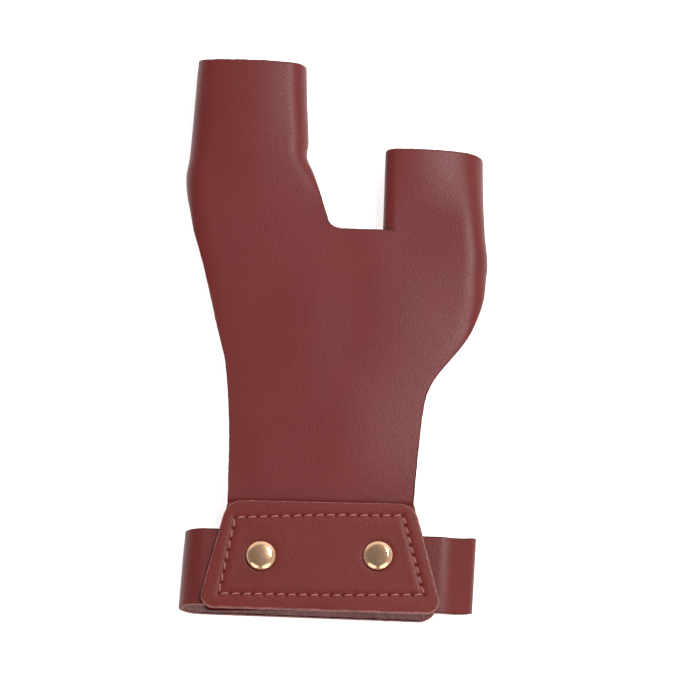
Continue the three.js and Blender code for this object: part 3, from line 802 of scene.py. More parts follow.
def palm_row(y, flats):
    in_plate = y < PLATE_TOP_Y
    along = clamp((y - PLATE_TOP_Y) / PALM_LENGTH)
    roll_left = 0 if in_plate else read(palm_edges, "roll_left", along)
    roll_right = 0 if in_plate else read(palm_edges, "roll_right", along)
    left, right = palm_edge("left", y), palm_edge("right", y)
    step = ease((y - STEP_BOTTOM_Y) / (STEP_TOP_Y - STEP_BOTTOM_Y))
    neck = lerp(SHEET_END_LEVEL, NECK_LEVEL, step)

    def level(x):
        share = (x - left) / (right - left)
        across = 2 * share - 1
        change = ease((share - LEVEL_CHANGE[0]) / (LEVEL_CHANGE[1] - LEVEL_CHANGE[0]))
        hand = lerp(top_level(index_stall), top_level(thumb_stall), change)
        crown = PALM_CROWN * math.sin(math.pi * along) * (CROWN_CENTRE - across * across)
        flare = clamp((STEP_BOTTOM_Y - y) / (STEP_BOTTOM_Y - SHEET_END_Y))
        fall = FLARE_FALL * across * across * (1 + flare if in_plate else 1 - ease(along))
        return lerp(neck, hand, ease(along)) + crown - fall - plate_dent(x, y) + wave(x, y)

    return front_row(
        left=left + roll_left * LEATHER / 2,
        right=right - roll_right * LEATHER / 2,
        radii=(index_stall["fold_radius"], thumb_stall["fold_radius"]),
        drops=(roll_left * fold_drop(index_stall), roll_right * fold_drop(thumb_stall)),
        flats=flats,
        level=level,
        y_at=lambda x: y - web_fall(x) * ease((y - WING_START_Y) / (WEB_Y - WING_START_Y)),
    )


# %% Where the laps are sewn
WING_STEPS = 24
WALL_STEPS = 6
SEAM_PULL = 0.5
SEAM_WIDTH = 1.3


def seam_x(stall, y):
    """Middle line of the lap behind a stall, where it is sewn."""
    y = max(y, WEB_Y)
    if stall is index_stall:
        return stall_edge(stall, "right", y) - LEATHER / 2 - stall["fold_radius"] - SEAM_LAP / 2
    return stall_edge(stall, "left", y) + stall["fold_radius"] + SEAM_LAP / 2


def seam_pull(stall, x, y):
    """How far the thread lifts the lower layer off the table along the seam."""
    return SEAM_PULL * math.exp(-((x - seam_x(stall, y)) / SEAM_WIDTH) ** 2)


# %% A wing that rolls under at a fold and laps behind its stall


def wing(skin, fold, stall, side, is_long, rise):
    way = -1 if side == "right" else 1
    level = TAIL_LEVEL if is_long else SHORT_WING_LEVEL
    base, top = fold[0][1], fold[-1][1]
    columns = [(turn, 0) for turn in fold_turns]
    columns += [(math.pi / 2, s) for s in steps(WING_STEPS)[1:]]
    rows = []
    for px, py, pz in fold:
        share = (py - base) / (top - base)
        other = stall_edge(stall, "right" if side == "left" else "left", max(py, WEB_Y))
        reach = abs(other - px) - 2 * stall["fold_radius"] - LEATHER / 2 if is_long else SEAM_LAP
        row = []
        for turn, run in columns:
            x = px + way * (stall["fold_radius"] * (1 - math.cos(turn)) + reach * run)
            lift = rise * lerp(run, math.sin(turn), TURN_SHARE_OF_SLANT)
            y = py + lerp(lift, rim_y(stall, x) - rim_y(stall, px), share)
            z = lerp(pz, level, math.sin(turn))
            if is_long:
                z += min(seam_pull(stall, x, y), CLEARANCE) * run
            row.append((x, y, z))
        rows.append(row if side == "right" else row[::-1])
    skin.patch(rows)


# %% The thumb's short wing, which has a sharp crease


def creased_wing(skin, fold):
    """Turns down at the crease, and then under the stall."""
    crease = thumb_stall["edge_radius"]
    bend = min(fold[0][2] - crease - SHORT_WING_LEVEL, thumb_stall["fold_radius"] - LEATHER / 2)
    low = SHORT_WING_LEVEL + bend
    base, top = fold[0][1], fold[-1][1]
    rows = []
    for px, py, pz in fold:
        share = (py - base) / (top - base)
        wall = px - crease
        spots = [
            (px - crease * math.sin(t), pz - crease * (1 - math.cos(t)), math.sin(t) ** 3)
            for t in fold_turns
        ]
        spots += [(wall, lerp(spots[-1][1], low, s), 1) for s in steps(WALL_STEPS)[1:-1]]
        spots += [(wall + bend * (1 - math.cos(t)), low - bend * math.sin(t), 1) for t in fold_turns]
        spots += [(wall + bend + SEAM_LAP * s, SHORT_WING_LEVEL, 1) for s in steps(WING_STEPS // 2)[1:]]
        row = []
        for x, z, lift in spots:
            slope = thumb_stall["rim_slope"] * (x - px)
            row.append((x, py + lerp(lift * THUMB_SHORT_WING_RISE, slope, share), z))
        rows.append(row[::-1])
    skin.patch(rows)


# %% Heights of the rows
NEARLY = 1e-6
ROUNDED_END_STEPS = 6
WEB_CORNER_STEPS = 7


def rounded_start(start, radius, count):
    """Heights that climb round a corner of the outline, closest together at its foot."""
    return [start + radius * (1 - math.cos(s * math.pi / 2)) for s in steps(count)]


def onward(heights, *stretches):
    """Carries a list of heights on. A stretch is where it ends, and in how many steps."""
    for end, count in stretches:
        heights = heights + [lerp(heights[-1], end, s) for s in steps(count)[1:]]
    return heights


# %% The whole hand sheet


def hand_sheet():
    skin = Skin()
    rim_index = WEB_Y + index_stall["length"]
    rim_thumb = WEB_Y + thumb_stall["length"]
    long_start = WEB_Y + INDEX_LONG_WING_START * index_stall["length"]
    short_start = WEB_Y + INDEX_SHORT_WING_START * index_stall["length"]
    index_ys = onward(
        rounded_start(WEB_Y, WEB_CORNER_RADIUS, WEB_CORNER_STEPS),
        (long_start, 16), (short_start, 12), (rim_index, 28),
    )
    thumb_ys = onward([WEB_Y], (rim_thumb, 28))
    index_front = [stall_row(index_stall, y, short_start) for y in index_ys]
    thumb_front = [stall_row(thumb_stall, y, WEB_Y) for y in thumb_ys]
    skin.patch(index_front)
    skin.patch(thumb_front)

    web_start, web_end = Vector(index_front[0][-1]), Vector(thumb_front[0][0])
    web = [tuple(web_start.lerp(web_end, s)) for s in steps(WEB_STEPS)[1:-1]]
    web_row = index_front[0] + web + thumb_front[0]
    inner_left = web_row[0][0] + index_stall["fold_radius"]
    inner_right = web_row[-1][0] - thumb_stall["fold_radius"]
    inner_row = web_row[FOLD_STEPS:-FOLD_STEPS]
    flats = [(p[0] - inner_left) / (inner_right - inner_left) for p in inner_row]

    dent_low, dent_high = PLATE_TOP_Y - 2 * DENT_WIDTH, PLATE_TOP_Y + 3 * DENT_WIDTH
    palm_ys = onward(
        rounded_start(SHEET_END_Y, PLATE_BOTTOM_RADIUS, ROUNDED_END_STEPS),
        (STEP_BOTTOM_Y, 22), (dent_low, 7), (dent_high, 16), (WING_START_Y, 82), (WEB_Y, 12),
    )
    palm = [palm_row(y, flats) for y in palm_ys[:-1]] + [web_row]
    skin.patch(palm)

    index_left = [row[0] for row, y in zip(index_front, index_ys) if y > long_start - NEARLY]
    index_right = [
        row[-1] for row, y in zip(index_front, index_ys) if y > short_start - NEARLY
    ]
    thumb_left = [row[0] for row in thumb_front]
    thumb_right = [row[-1] for row, y in zip(palm, palm_ys) if y > WING_START_Y - NEARLY]
    thumb_right += [row[-1] for row in thumb_front[1:]]
    wing(skin, index_left, index_stall, "left", True, short_start - long_start)
    wing(skin, index_right, index_stall, "right", False, LEATHER)
    wing(skin, thumb_right, thumb_stall, "right", True, WEB_Y - WING_START_Y)
    creased_wing(skin, thumb_left)
    return skin


vertices, faces, sides = thickened(hand_sheet(), LEATHER)
piece("glove_sheet", vertices, faces, leather_of["hand"], sides, ["hand_sheet"])

# %% [markdown]
# ## The two halves of the strap
#
# Each half is a flat strip that is bent round and back under the wrist. A strip is a path seen
# from the side, with round corners, swept across its width. The left half bends in one wide
# loop and ends in a rounded tail. The right half slopes down, folds tightly and ends square.

# %% A path with rounded corners, seen from the side


def turned_by(spoke, angle):
    cos, sin = math.cos(angle), math.sin(angle)
    return Vector((spoke.x * cos - spoke.y * sin, spoke.x * sin + spoke.y * cos))


def bent_path(corners, corner_steps, straight_steps):
    """Corners are (x, z, radius). Gives evenly spread points along the rounded path."""
    spots = [Vector((x, z)) for x, z, _ in corners]
    path = []
    start = spots[0]
    for k in range(1, len(spots)):
        here, radius = spots[k], corners[k][2]
        back = (start - here).normalized()
        ahead = (spots[k + 1] - here).normalized() if k + 1 < len(spots) else back
        half = back.angle(ahead) / 2
        trim = radius / math.tan(half) if radius else 0
        end = here + back * trim
        path += [start.lerp(end, s) for s in steps(straight_steps)[0 if k == 1 else 1:]]
        if radius:
            centre = here + (back + ahead).normalized() * (radius / math.sin(half))
            spoke = end - centre
            turn = math.copysign(math.pi - 2 * half, back.x * spoke.y - back.y * spoke.x)
            for s in steps(corner_steps)[1:]:
                path.append(centre + turned_by(spoke, turn * s))
            start = here + ahead * trim
    return path


# %% Paths of the two halves
STRAP_CORNER_STEPS = 16
STRAP_STRAIGHT_STEPS = 56


def left_strap_path(y, cut):
    bend = -STRAP_LEFT_REACH + LEATHER / 2 + y * math.tan(STRAP_LEAN)
    radius = (STRAP_LEVEL - TAIL_LEVEL) / 2
    return bent_path([
        (-RIVET_SPACING / 2 + RIVET_SHIFT + STRAP_TUCK, STRAP_LEVEL, 0),
        (bend, STRAP_LEVEL, radius),
        (bend, TAIL_LEVEL, radius),
        (TAIL_REACH - cut, TAIL_LEVEL, 0),
    ], STRAP_CORNER_STEPS, STRAP_STRAIGHT_STEPS)


def right_strap_path(y, cut):
    bend = STRAP_RIGHT_REACH - LEATHER / 2 + y * math.tan(STRAP_LEAN)
    return bent_path([
        (RIVET_SPACING / 2 + RIVET_SHIFT - STRAP_TUCK, STRAP_LEVEL, 0),
        (STRAP_SLOPE_START, STRAP_LEVEL, STRAP_SLOPE_RADIUS),
        (bend, INNER_END_LEVEL + STRAP_FOLD_HEIGHT, STRAP_FOLD_RADIUS),
        (bend, INNER_END_LEVEL, STRAP_FOLD_RADIUS),
        (-INNER_END_REACH, INNER_END_LEVEL, 0),
    ], STRAP_CORNER_STEPS, STRAP_STRAIGHT_STEPS)


# %% Strips across the strap's width, closer together at the tail's round corners
STRAP_COLUMNS = 16
TAIL_CORNER_STEPS = 8


def strap_columns():
    straight = STRAP_WIDTH / 2 - TAIL_RADIUS
    arc = [s * math.pi / 2 for s in steps(TAIL_CORNER_STEPS)[1:]]
    side = [(straight + TAIL_RADIUS * math.sin(t), TAIL_RADIUS * (1 - math.cos(t))) for t in arc]
    flat = [(lerp(-straight, straight, s), 0) for s in steps(STRAP_COLUMNS)]
    return [(-y, cut) for y, cut in reversed(side)] + flat + side


def strip(path_at, faces_up, shift):
    skin = Skin()
    columns = []
    for y, cut in strap_columns():
        path = path_at(y, cut)
        depth = STRAP_LEVEL - min(spot.y for spot in path)
        columns.append([
            (spot.x, y + shift * ease((STRAP_LEVEL - spot.y) / depth), spot.y) for spot in path
        ])
    skin.patch(columns if faces_up else columns[::-1])
    return skin


def turned_with_wrist(vertices):
    """The strap is drawn square and then turned with the wrist."""
    cos, sin = math.cos(STRAP_TURN), math.sin(STRAP_TURN)
    turn = np.array([[cos, -sin, 0], [sin, cos, 0], [0, 0, 1]])
    return np.asarray(vertices) @ turn.T + np.array([0, -STRAP_DROP, 0])


for name, path_at, faces_up, shift in (
    ("strap_left", left_strap_path, False, 0),
    ("strap_right", right_strap_path, True, INNER_END_SHIFT),
):
    vertices, faces, sides = thickened(strip(path_at, faces_up, shift), LEATHER)
    vertices = turned_with_wrist(vertices)
    piece(f"{name}_leather", vertices, faces, leather_of["strap"], sides, [name])

# %% [markdown]
# ## The wrist plate
#
# The plate is die cut and sewn all round. Thread under tension pulls the leather down, so the
# stitches lie in a shallow groove, each between two needle holes, and the face swells a little
# beside them. The caps press a ring into the leather too. A regular grid can't hold such small
# marks where they fall, so the face is filled with points where they are needed, joined into
# triangles, and only its grain side is pressed in.

# %% Outline of the plate


def rounded_outline(corners, pitch):
    """Closed line of points along a polygon with rounded corners, given as (x, y, radius)."""
    line = []
    for k, (x, y, radius) in enumerate(corners):
        here = Vector((x, y))
        back = (Vector(corners[k - 1][:2]) - here).normalized()
        ahead = (Vector(corners[(k + 1) % len(corners)][:2]) - here).normalized()
        half = back.angle(ahead) / 2
        centre = here + (back + ahead).normalized() * (radius / math.sin(half))
        start = here + back * (radius / math.tan(half)) - centre
        end = here + ahead * (radius / math.tan(half)) - centre
        count = max(2, round(radius * (math.pi - 2 * half) / pitch))
        turn = math.pi - 2 * half
        side = math.copysign(1, start.x * end.y - start.y * end.x)
        for s in steps(count):
            line.append(centre + turned_by(start, side * turn * s))
    filled = []
    for a, b in zip(line, line[1:] + line[:1]):
        count = max(1, round((b - a).length / pitch))
        filled += [a.lerp(b, k / count) for k in range(count)]
    return filled


POINT_PITCH = 0.75
plate_outline = rounded_outline(list(plate_corners.values()), POINT_PITCH)
print(len(plate_outline), "points round the plate")

# %% Distances to the seam and to marks


def distance_to(line, points):
    """Distance of each point to a closed line."""
    starts = np.array([tuple(p) for p in line])
    runs = np.roll(starts, -1, axis=0) - starts
    offset = np.asarray(points)[:, None, :2] - starts
    share = np.clip((offset * runs).sum(2) / (runs ** 2).sum(1), 0, 1)
    return np.linalg.norm(offset - share[..., None] * runs, axis=2).min(1)


def distance_to_marks(marks, points):
    """Distance of each point to the nearest mark."""
    places = np.array([tuple(mark) for mark in marks])
    return np.linalg.norm(np.asarray(points)[:, None, :2] - places, axis=2).min(1)


# %% Stitch line of the plate, whose two long sides bow a little, and where each needle hole goes
STITCH_PITCH = 3.7
stitch_line = [
    Vector(corner) for corner in (
        (-28.5, 13.1), (1.2, 13.9), (27.0, 13.7),
        (33.7, -13.3), (3.2, -13.5), (-33.6, -12.8),
    )
]


def holes_along(line, pitch):
    """Needle holes at an even pitch on each side of the seam, one at every corner."""
    holes = []
    for a, b in zip(line, line[1:] + line[:1]):
        count = round((b - a).length / pitch)
        holes += [a.lerp(b, k / count) for k in range(count)]
    return holes


plate_holes = holes_along(stitch_line, STITCH_PITCH)
print(len(plate_holes), "needle holes round the plate")

# %% A flat skin that is filled with points


def inside(line, points):
    """Whether each point is inside a closed line, by counting crossings."""
    starts = np.array([tuple(p) for p in line])
    ends = np.roll(starts, -1, axis=0)
    x, y = points[:, 0, None], points[:, 1, None]
    straddles = (starts[:, 1] > y) != (ends[:, 1] > y)
    height = np.where(ends[:, 1] == starts[:, 1], 1, ends[:, 1] - starts[:, 1])
    crossing = starts[:, 0] + (y - starts[:, 1]) / height * (ends[:, 0] - starts[:, 0])
    return (straddles & (x < crossing)).sum(1) % 2 == 1


def filled_skin(outline, level, pitch, margin, marks=(), spare=0):
    """A flat skin of small triangles. marks are points to keep, spare is the room round them."""
    low = np.min([tuple(p) for p in outline], axis=0)
    high = np.max([tuple(p) for p in outline], axis=0)
    xs, ys = (np.arange(a, b, pitch) for a, b in zip(low, high))
    grid = np.array([(x + (k % 2) * pitch / 2, y) for k, y in enumerate(ys) for x in xs])
    grid = grid[inside(outline, grid) & (distance_to(outline, grid) > margin)]
    if marks:
        grid = grid[distance_to_marks(marks, grid) > spare]
    points = list(outline) + [Vector(p) for p in grid] + list(marks)
    ring = [(k, (k + 1) % len(outline)) for k in range(len(outline))]
    area = [list(range(len(outline)))]
    placed, _, triangles, *_ = geometry.delaunay_2d_cdt(points, ring, area, 1, 1e-4)
    skin = Skin()
    places = [skin.point((p.x, p.y, level)) for p in placed]
    for triangle in triangles:
        skin.face(*[places[k] for k in triangle])
    return skin


# %% Points that fill the plate, close together round each needle hole
OUTLINE_MARGIN = 0.55
HOLE_RADIUS = 0.5
HOLE_RINGS = ((0.6, 6), (1.15, 10))
HOLE_MARGIN = 0.7 * HOLE_RADIUS


def ring_of(middle, radius, count):
    angles = [2 * math.pi * k / count for k in range(count)]
    return [middle + Vector((math.cos(a), math.sin(a))) * radius for a in angles]


hole_marks = []
for hole in plate_holes:
    hole_marks.append(hole)
    for share, count in HOLE_RINGS:
        hole_marks += ring_of(hole, HOLE_RADIUS * share, count)
plate_level = PLATE_BOTTOM + LEATHER / 2
plate_skin = filled_skin(
    plate_outline, plate_level, POINT_PITCH, OUTLINE_MARGIN, hole_marks, HOLE_MARGIN,
)
print(len(plate_skin.points), "points fill the plate")

# %% The plate, with its groove, needle holes and the rings pressed by the caps
HOLE_DEPTH = 0.6
GROOVE_DEPTH = 0.17
GROOVE_WIDTH = 0.85
SWELL_HEIGHT = 0.04
SWELL_PLACE = 2.3
SWELL_WIDTH = 1.4
CAP_RADIUS = 5
CAP_PRESS = 0.18
CAP_PRESS_INSET = 0.6
CAP_PRESS_WIDTH = 2.2
CAP_PRESS_START = CAP_RADIUS - 2

cap_middles = [Vector((side * RIVET_SPACING / 2 + RIVET_SHIFT, 0)) for side in (-1, 1)]


def plate_press(points):
    seam = distance_to(stitch_line, points)
    groove = GROOVE_DEPTH * np.exp(-(seam / GROOVE_WIDTH) ** 2)
    swell = SWELL_HEIGHT * np.exp(-((seam - SWELL_PLACE) / SWELL_WIDTH) ** 2)
    hole = distance_to_marks(plate_holes, points)
    holes = HOLE_DEPTH * np.clip(1 - (hole / HOLE_RADIUS) ** 2, 0, 1)
    reach = distance_to_marks(cap_middles, points)
    share = np.clip(1 - (reach - CAP_RADIUS + CAP_PRESS_INSET) / CAP_PRESS_WIDTH, 0, 1)
    caps = CAP_PRESS * share ** 2 * (reach > CAP_PRESS_START)
    return groove - swell + holes + caps


vertices, faces, sides = thickened(plate_skin, LEATHER, plate_press)

# %% Painted shade in the bottoms of the needle holes
HOLE_SHADE = 3
DARK_SHARE = 0.75
hole_shade_finish = Finish("needle_hole_painted_shade")
hole_painted_shade = hole_shade_finish.surface(
    Base_Color=hole_shade_finish.tint(hole_shade_finish.cloud(0.5), light_of(58, 18, 17), light_of(88, 29, 26)),
    Roughness=0.9,
)
face_middles = np.array([vertices[face].mean(axis=0) for face in faces])
# Grain faces near the middle of each needle hole take a dark finish, a painted shade in the hole.
in_a_hole = distance_to_marks(plate_holes, face_middles) < DARK_SHARE * HOLE_RADIUS
sides = [HOLE_SHADE if side == GRAIN and deep else side for side, deep in zip(sides, in_a_hole)]
finishes = (*leather_of["plate"], hole_painted_shade)
piece("wrist_plate_leather", vertices, faces, finishes, sides, ["wrist_plate"])

# %% [markdown]
# ## Thread
#
# The plate is sewn with waxed thread, paler than the leather. Every stitch comes up out of one
# needle hole, lies in the groove with a slight slant, and goes down the next. It is a real
# tube of two strands laid round each other, so that it catches light along its twist. A bump
# on the leather would look flat from the side.

# %% Finish of the thread
thread_finish = Finish("waxed_thread")
thread_fuzz = thread_finish.cloud(0.25, 3)
thread = thread_finish.surface(
    Base_Color=thread_finish.tint(thread_fuzz, light_of(128, 72, 64), light_of(190, 126, 112)),
    Roughness=0.6,
    Normal=thread_finish.bump(thread_fuzz, 0.04),
    Specular_IOR_Level=0.4,
)

# %% One stitch, as a twisted tube from hole to hole
THREAD_RADIUS = 0.24
THREAD_SIDES = 10
THREAD_STEPS = 14
STRAND_DEPTH = 0.16
TWIST_LENGTH = 2.6
BOW_SQUARENESS = 0.6


def stitch(start, end, surface, dip, rise, slant, up=1):
    """One stitch on leather at the height surface: how far it dips, rises and slants."""
    run = end - start
    length = run.length
    ahead = run / length
    aside = Vector((-ahead.y, ahead.x))
    centres = []
    for s in steps(THREAD_STEPS):
        bow = math.sin(math.pi * s) ** BOW_SQUARENESS
        place = start + run * s + aside * slant * (s - 0.5)
        centres.append(Vector((place.x, place.y, surface + up * lerp(-dip, rise, bow))))
    vertices, faces = [], []
    for k, centre in enumerate(centres):
        before, after = centres[max(k - 1, 0)], centres[min(k + 1, THREAD_STEPS)]
        tangent = (after - before).normalized()
        side = tangent.cross(Vector((0, 0, 1))).normalized()
        over = side.cross(tangent)
        twist = 2 * math.pi * length * k / THREAD_STEPS / TWIST_LENGTH
        for n in range(THREAD_SIDES):
            angle = 2 * math.pi * n / THREAD_SIDES
            radius = THREAD_RADIUS * (1 - STRAND_DEPTH * math.sin(angle - twist) ** 2)
            vertices.append(centre + (side * math.cos(angle) + over * math.sin(angle)) * radius)
    for k in range(THREAD_STEPS):
        for n in range(THREAD_SIDES):
            a, b = k * THREAD_SIDES + n, k * THREAD_SIDES + (n + 1) % THREAD_SIDES
            faces.append([b, a, a + THREAD_SIDES, b + THREAD_SIDES])
    faces.append([n for n in range(THREAD_SIDES)])
    faces.append([THREAD_STEPS * THREAD_SIDES + n for n in reversed(range(THREAD_SIDES))])
    return vertices, faces


def seam(name, stitches, slot):
    vertices, faces = [], []
    for made, rings in stitches:
        faces += [[c + len(vertices) for c in ring] for ring in rings]
        vertices += [tuple(v) for v in made]
    return piece(name, vertices, faces, [thread])


# %% Stitches round the plate
HOLE_GAP = 0.5
STITCH_DIP = 0.6
STITCH_RISE = 0.2
STITCH_SLANT = 0.42

plate_face = PLATE_BOTTOM + LEATHER
plate_stitches = []
for k, hole in enumerate(plate_holes):
    following = plate_holes[(k + 1) % len(plate_holes)]
    way = (following - hole).normalized() * HOLE_GAP
    ends = (hole + way, following - way)
    plate_stitches.append(
        stitch(*ends, plate_face - GROOVE_DEPTH, STITCH_DIP, STITCH_RISE, STITCH_SLANT)
    )
seam("plate_stitches", plate_stitches, "plate_leather")

# %% [markdown]
# ## Seams behind the stalls
#
# Behind each stall the short wing laps over the long one and both are sewn through. The thread
# shows inside the stall. Outside, the lower layer is drawn up a little along the seam, and the
# thread is sunk into it, so that it keeps clear of the table.

# %% Stitches through both laps
STALL_STITCH_PITCH = 3.4
STALL_STITCH_DIP = 0.5
STALL_STITCH_SLANT = 0.2
SEAM_INSET = 3


def lap_stitches(stall, start_y):
    top = rim_y(stall, seam_x(stall, start_y)) - SEAM_INSET
    count = round((top - start_y) / STALL_STITCH_PITCH)
    ys = [lerp(start_y, top, s) for s in steps(count)]
    made = []
    for low, high in zip(ys, ys[1:]):
        a = Vector((seam_x(stall, low), low + HOLE_GAP))
        b = Vector((seam_x(stall, high), high - HOLE_GAP))
        for surface, rise, up in (
            (CLEARANCE, -THREAD_RADIUS * 1.05, -1),
            (SHORT_WING_LEVEL + LEATHER / 2, STITCH_RISE, 1),
        ):
            made.append(stitch(a, b, surface, STALL_STITCH_DIP, rise, STALL_STITCH_SLANT, up))
    return made


index_seam_start = WEB_Y + INDEX_SHORT_WING_START * index_stall["length"] + SEAM_INSET + LEATHER
thumb_seam_start = WEB_Y + SEAM_INSET + THUMB_SHORT_WING_RISE
lap_seams = lap_stitches(index_stall, index_seam_start) + lap_stitches(thumb_stall, thumb_seam_start)
seam("stall_seam_stitches", lap_seams, "hand_leather")

# %% [markdown]
# ## Rivets
#
# A double-cap rivet is a polished cap with a low dome, a post through all of the layers, and a
# flatter cap at the back. Turning a profile round the post's axis makes all of it in one go,
# as it would be spun in metal. The cap is nearly flat in the middle and rolls over in an arc
# to a thin rim, and that roll is where the bright crescents of a studio light sit. A rivet is
# never set quite straight, so each cap leans a little.

# %% Finish of the caps
gold_finish = Finish("pale_gold")
gold_clouds = gold_finish.cloud(1.6, 3)
gold_scuffs = gold_finish.cloud(0.5, 3, stretch=(5, 1, 1))
gold = gold_finish.surface(
    Base_Color=gold_finish.tint(gold_clouds, light_of(222, 175, 136), light_of(246, 203, 166)),
    Metallic=1.0,
    Roughness=0.09 + 0.05 * gold_clouds + 0.04 * gold_scuffs,
    Normal=gold_finish.bump(gold_clouds + 0.4 * gold_scuffs, 0.02, 0.25),
)

# %% Turned profile of a rivet
RIVET_SIDES = 72
CAP_RIM = 0.34
CAP_DOME = 0.42
CAP_ROLL_START = 3.1
CAP_ROLL_TURN = math.radians(55)
CAP_LEANS = (-0.045, 0.045)
POST_RADIUS = 1.6
BACK_CAP_RADIUS = 4
BACK_CAP_HEIGHT = 0.8
BACK_CAP_ROUNDING = 0.3
RIM_CURL = ((0, 0.2), (0.12, 0.06), (0.3, 0))
NECK_WIDTH = 0.2
NECK_HEIGHT = 0.15
BEVEL = 0.1
FLAT_RINGS = 10
ROLL_RINGS = 20
BACK_RINGS = 6


def rivet_profile():
    """Radius and height of the rivet from the top of its cap to the bottom of its back cap."""
    seat = PLATE_BOTTOM + LEATHER + CLEARANCE
    back_top = SHEET_END_LEVEL - LEATHER / 2 - CLEARANCE
    back_bottom = back_top - BACK_CAP_HEIGHT
    roll_radius = (CAP_RADIUS - CAP_ROLL_START) / math.sin(CAP_ROLL_TURN)
    roll_top = seat + CAP_RIM + roll_radius * (1 - math.cos(CAP_ROLL_TURN))
    flat = [(CAP_ROLL_START * s, roll_top) for s in steps(FLAT_RINGS)[:-1]]
    roll = [s * CAP_ROLL_TURN for s in steps(ROLL_RINGS)]
    flat += [
        (CAP_ROLL_START + roll_radius * math.sin(t), roll_top - roll_radius * (1 - math.cos(t)))
        for t in roll
    ]
    dome = [(radius, height + CAP_DOME * (1 - (radius / CAP_RADIUS) ** 2)) for radius, height in flat]
    rim = [(CAP_RADIUS - inset, seat + height) for inset, height in RIM_CURL]
    neck = POST_RADIUS + NECK_WIDTH
    post = [
        (neck, seat), (POST_RADIUS, seat - NECK_HEIGHT),
        (POST_RADIUS, back_top + NECK_HEIGHT), (neck, back_top),
    ]
    back = [(BACK_CAP_RADIUS - BEVEL, back_top), (BACK_CAP_RADIUS, back_top - BEVEL)]
    for s in steps(BACK_RINGS):
        turn = s * math.pi / 2
        back.append((
            BACK_CAP_RADIUS - BACK_CAP_ROUNDING * (1 - math.cos(turn)),
            back_bottom + BACK_CAP_ROUNDING * (1 - math.sin(turn)),
        ))
    return dome + rim + post + back + [(0, back_bottom)]


# %% A profile turned round an upright axis


def turned(profile, middle, sides):
    """Vertices and faces. A point on the axis itself is made only once."""
    vertices, faces = [], []
    rings = []
    for radius, height in profile:
        if radius < NEARLY:
            rings.append([len(vertices)] * sides)
            vertices.append((middle.x, middle.y, height))
            continue
        rings.append([len(vertices) + n for n in range(sides)])
        for n in range(sides):
            angle = 2 * math.pi * n / sides
            x, y = middle.x + radius * math.cos(angle), middle.y + radius * math.sin(angle)
            vertices.append((x, y, height))
    for upper, lower in zip(rings, rings[1:]):
        for n in range(sides):
            m = (n + 1) % sides
            ring = [upper[m], upper[n], lower[n], lower[m]]
            faces.append([c for k, c in enumerate(ring) if c != ring[k - 1]])
    return vertices, faces


# %% The two rivets, each cap leaning a little
for node, middle, lean in zip(("rivet_left", "rivet_right"), cap_middles, CAP_LEANS):
    vertices, faces = turned(rivet_profile(), middle, RIVET_SIDES)
    vertices = [
        (x, y, z + (lean * (x - middle.x) if z > plate_face else 0)) for x, y, z in vertices
    ]
    piece(f"{node}_brass", vertices, faces, [gold], replaces=[node])

# %% [markdown]
# ## The closure patch
#
# The strap closes on itself under the wrist with a patch of hooks on loops. Only its edge shows
# between the two layers. It is a thin pad of woven tape with a fuzzy nap, so its faces are
# ruffled by noise and its finish is dull.

# %% Closure patch between the two ends of the strap
patch_finish = Finish("hook_and_loop")
patch_nap = patch_finish.cloud(0.3, 4, roughness=0.7)
patch_dark = patch_finish.surface(
    Base_Color=patch_finish.tint(patch_nap, light_of(30, 20, 19), light_of(92, 66, 62)),
    Roughness=0.95,
    Normal=patch_finish.bump(patch_nap, 0.2),
)
NAP_HEIGHT = 0.07
NAP_SIZE = 0.8
PATCH_CORNER_RADIUS = 1.5
PATCH_PITCH = 0.8


def patch_press(points):
    return np.array([NAP_HEIGHT * (1 + noise.noise(Vector(p) / NAP_SIZE)) for p in points])


patch_middle_x = (TAIL_REACH - INNER_END_REACH) / 2 - TAIL_RADIUS / 2
patch_corners = [
    (patch_middle_x + side_x * FASTENER_LENGTH / 2, side_y * FASTENER_WIDTH / 2, PATCH_CORNER_RADIUS)
    for side_x, side_y in ((-1, 1), (1, 1), (1, -1), (-1, -1))
]
patch_outline = rounded_outline(patch_corners, PATCH_PITCH)
patch_level = FASTENER_LEVEL + FASTENER_THICKNESS / 2
patch_skin = filled_skin(patch_outline, patch_level, PATCH_PITCH, margin=0.5)
vertices, faces, _ = thickened(patch_skin, FASTENER_THICKNESS, patch_press)
piece(
    "closure_patch", turned_with_wrist(vertices), faces, [patch_dark],
    replaces=["strap_fastener"],
)
print("triangles in all:", sum(shown_pieces.values()))

# %% [markdown]
# ## Floor, light and camera
#
# The glove lies on a white table that glows a little, as a light table for catalogue pictures
# does, so that hardly any shadow is left round it. The key lamp is small and hangs high, to
# the right and behind. Its shine lies where a front starts to fall to the right, and that
# gives the soft bands along the stalls and leaves the folds beside them dark. Two wide weak
# lamps stand low in front. They give the polished caps their crescents and reach in under the
# strap. The sky is palest at the back and on the right, and darker overhead, which keeps the
# caps from going flat white.

# %% Floor
TABLE_GLOW = 0.7
TABLE_SIZE = 6
TABLE_LEVEL = -0.05 * MM

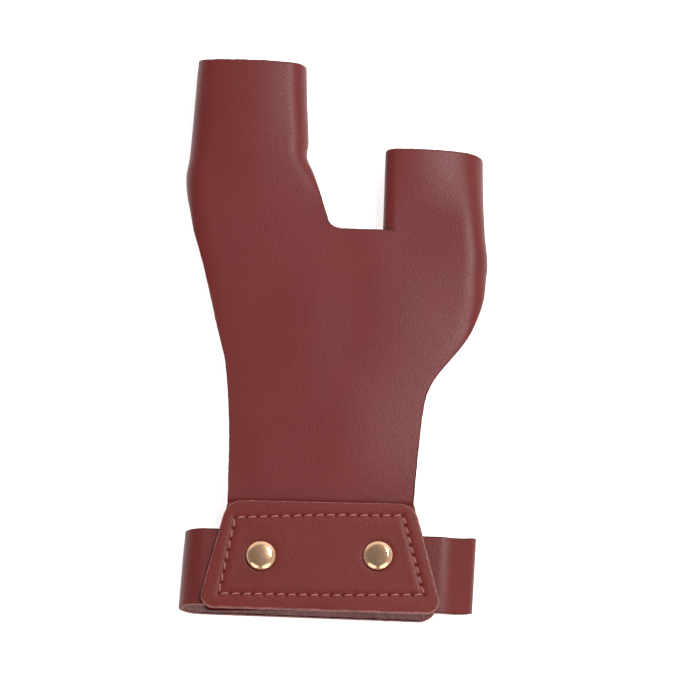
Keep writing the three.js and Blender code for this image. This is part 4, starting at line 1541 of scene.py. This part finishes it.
floor_finish = Finish("white_table")
table_white = floor_finish.surface(
    Base_Color=floor_finish.tint(
        floor_finish.cloud(300, 1), (0.8, 0.8, 0.8, 1), (0.82, 0.82, 0.82, 1),
    ),
    Emission_Color=(1, 1, 1, 1),
    Emission_Strength=TABLE_GLOW,
    Roughness=0.9,
    Specular_IOR_Level=0.2,
)
floor_mesh = bpy.data.meshes.new("table_top")
floor_corners = [
    (side_x * TABLE_SIZE / 2, side_y * TABLE_SIZE / 2, TABLE_LEVEL)
    for side_x, side_y in ((-1, -1), (1, -1), (1, 1), (-1, 1))
]
floor_mesh.from_pydata(floor_corners, [], [(0, 1, 2, 3)])
floor_mesh.materials.append(table_white)
table_top = bpy.data.objects.new("table_top", floor_mesh)
bpy.context.collection.objects.link(table_top)
table_top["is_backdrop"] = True

# %% Sky, palest at the back and on the right, darker overhead
SKY_OVERHEAD = 0.26
SKY_HORIZON = 0.42
SKY_BACK = 0.65
SKY_RIGHT = 0.35

sky = bpy.data.worlds.new("studio_sky")
sky.use_nodes = True
bpy.context.scene.world = sky
sky_wiring = Wiring(sky.node_tree)
look = sky_wiring.add("ShaderNodeTexCoord", {}, {}, "Generated")
right, back, up = (
    sky_wiring.add("ShaderNodeSeparateXYZ", {}, {"Vector": look}, axis) for axis in "XYZ"
)
sky_strength = (
    SKY_HORIZON + (SKY_OVERHEAD - SKY_HORIZON) * sky_wiring.between(up, 0.1, 0.95)
    + SKY_BACK * sky_wiring.between(back, 0.35, 0.85)
    + SKY_RIGHT * sky_wiring.between(right, -0.15, 0.6)
)
sky_inputs = {"Color": (1, 1, 1, 1), "Strength": sky_strength}
sky_glow = sky_wiring.add("ShaderNodeBackground", {}, sky_inputs)
sky_wiring.add("ShaderNodeOutputWorld", {}, {"Surface": sky_glow})

# %% Lamps


def lamp(name, place, watts, width):
    """A round lamp that points at the glove. place and width are in metres."""
    light = bpy.data.lights.new(name, "AREA")
    light.shape = "DISK"
    light.size = width
    light.energy = watts
    made = bpy.data.objects.new(name, light)
    made.location = place
    made.rotation_euler = (-Vector(place)).to_track_quat("-Z", "Y").to_euler()
    bpy.context.collection.objects.link(made)
    print(f"{name}: {watts} W, {width} m wide")


lamp("key_lamp", place=(0.57, 0.53, 1.4), watts=19.2, width=0.42)
lamp("front_right_lamp", place=(0.62, -1.02, 0.56), watts=4.6, width=1.1)
lamp("front_left_lamp", place=(-0.66, -0.98, 0.54), watts=3.6, width=1.0)

# %% Camera at the angle of the photograph
AIM = Vector((4.75, -6.24, 6.0)) * MM
EYE = Vector((4.75, -368.04, 1044.8)) * MM
LENS = 166.4

camera = bpy.data.cameras.new("camera")
camera.lens = LENS
camera.sensor_width = 36
camera_object = bpy.data.objects.new("camera", camera)
camera_object.location = EYE
camera_object.rotation_euler = (AIM - EYE).to_track_quat("-Z", "Y").to_euler()
bpy.context.collection.objects.link(camera_object)
bpy.context.scene.camera = camera_object
bpy.context.scene.view_settings.view_transform = "Standard"

# %% Size of the finished model beside the frame's
shown_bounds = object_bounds()
for label, (low, high) in (("frame", frame_bounds), ("shown", shown_bounds)):
    print(label, [round((b - a) / MM, 1) for a, b in zip(low, high)], "mm")
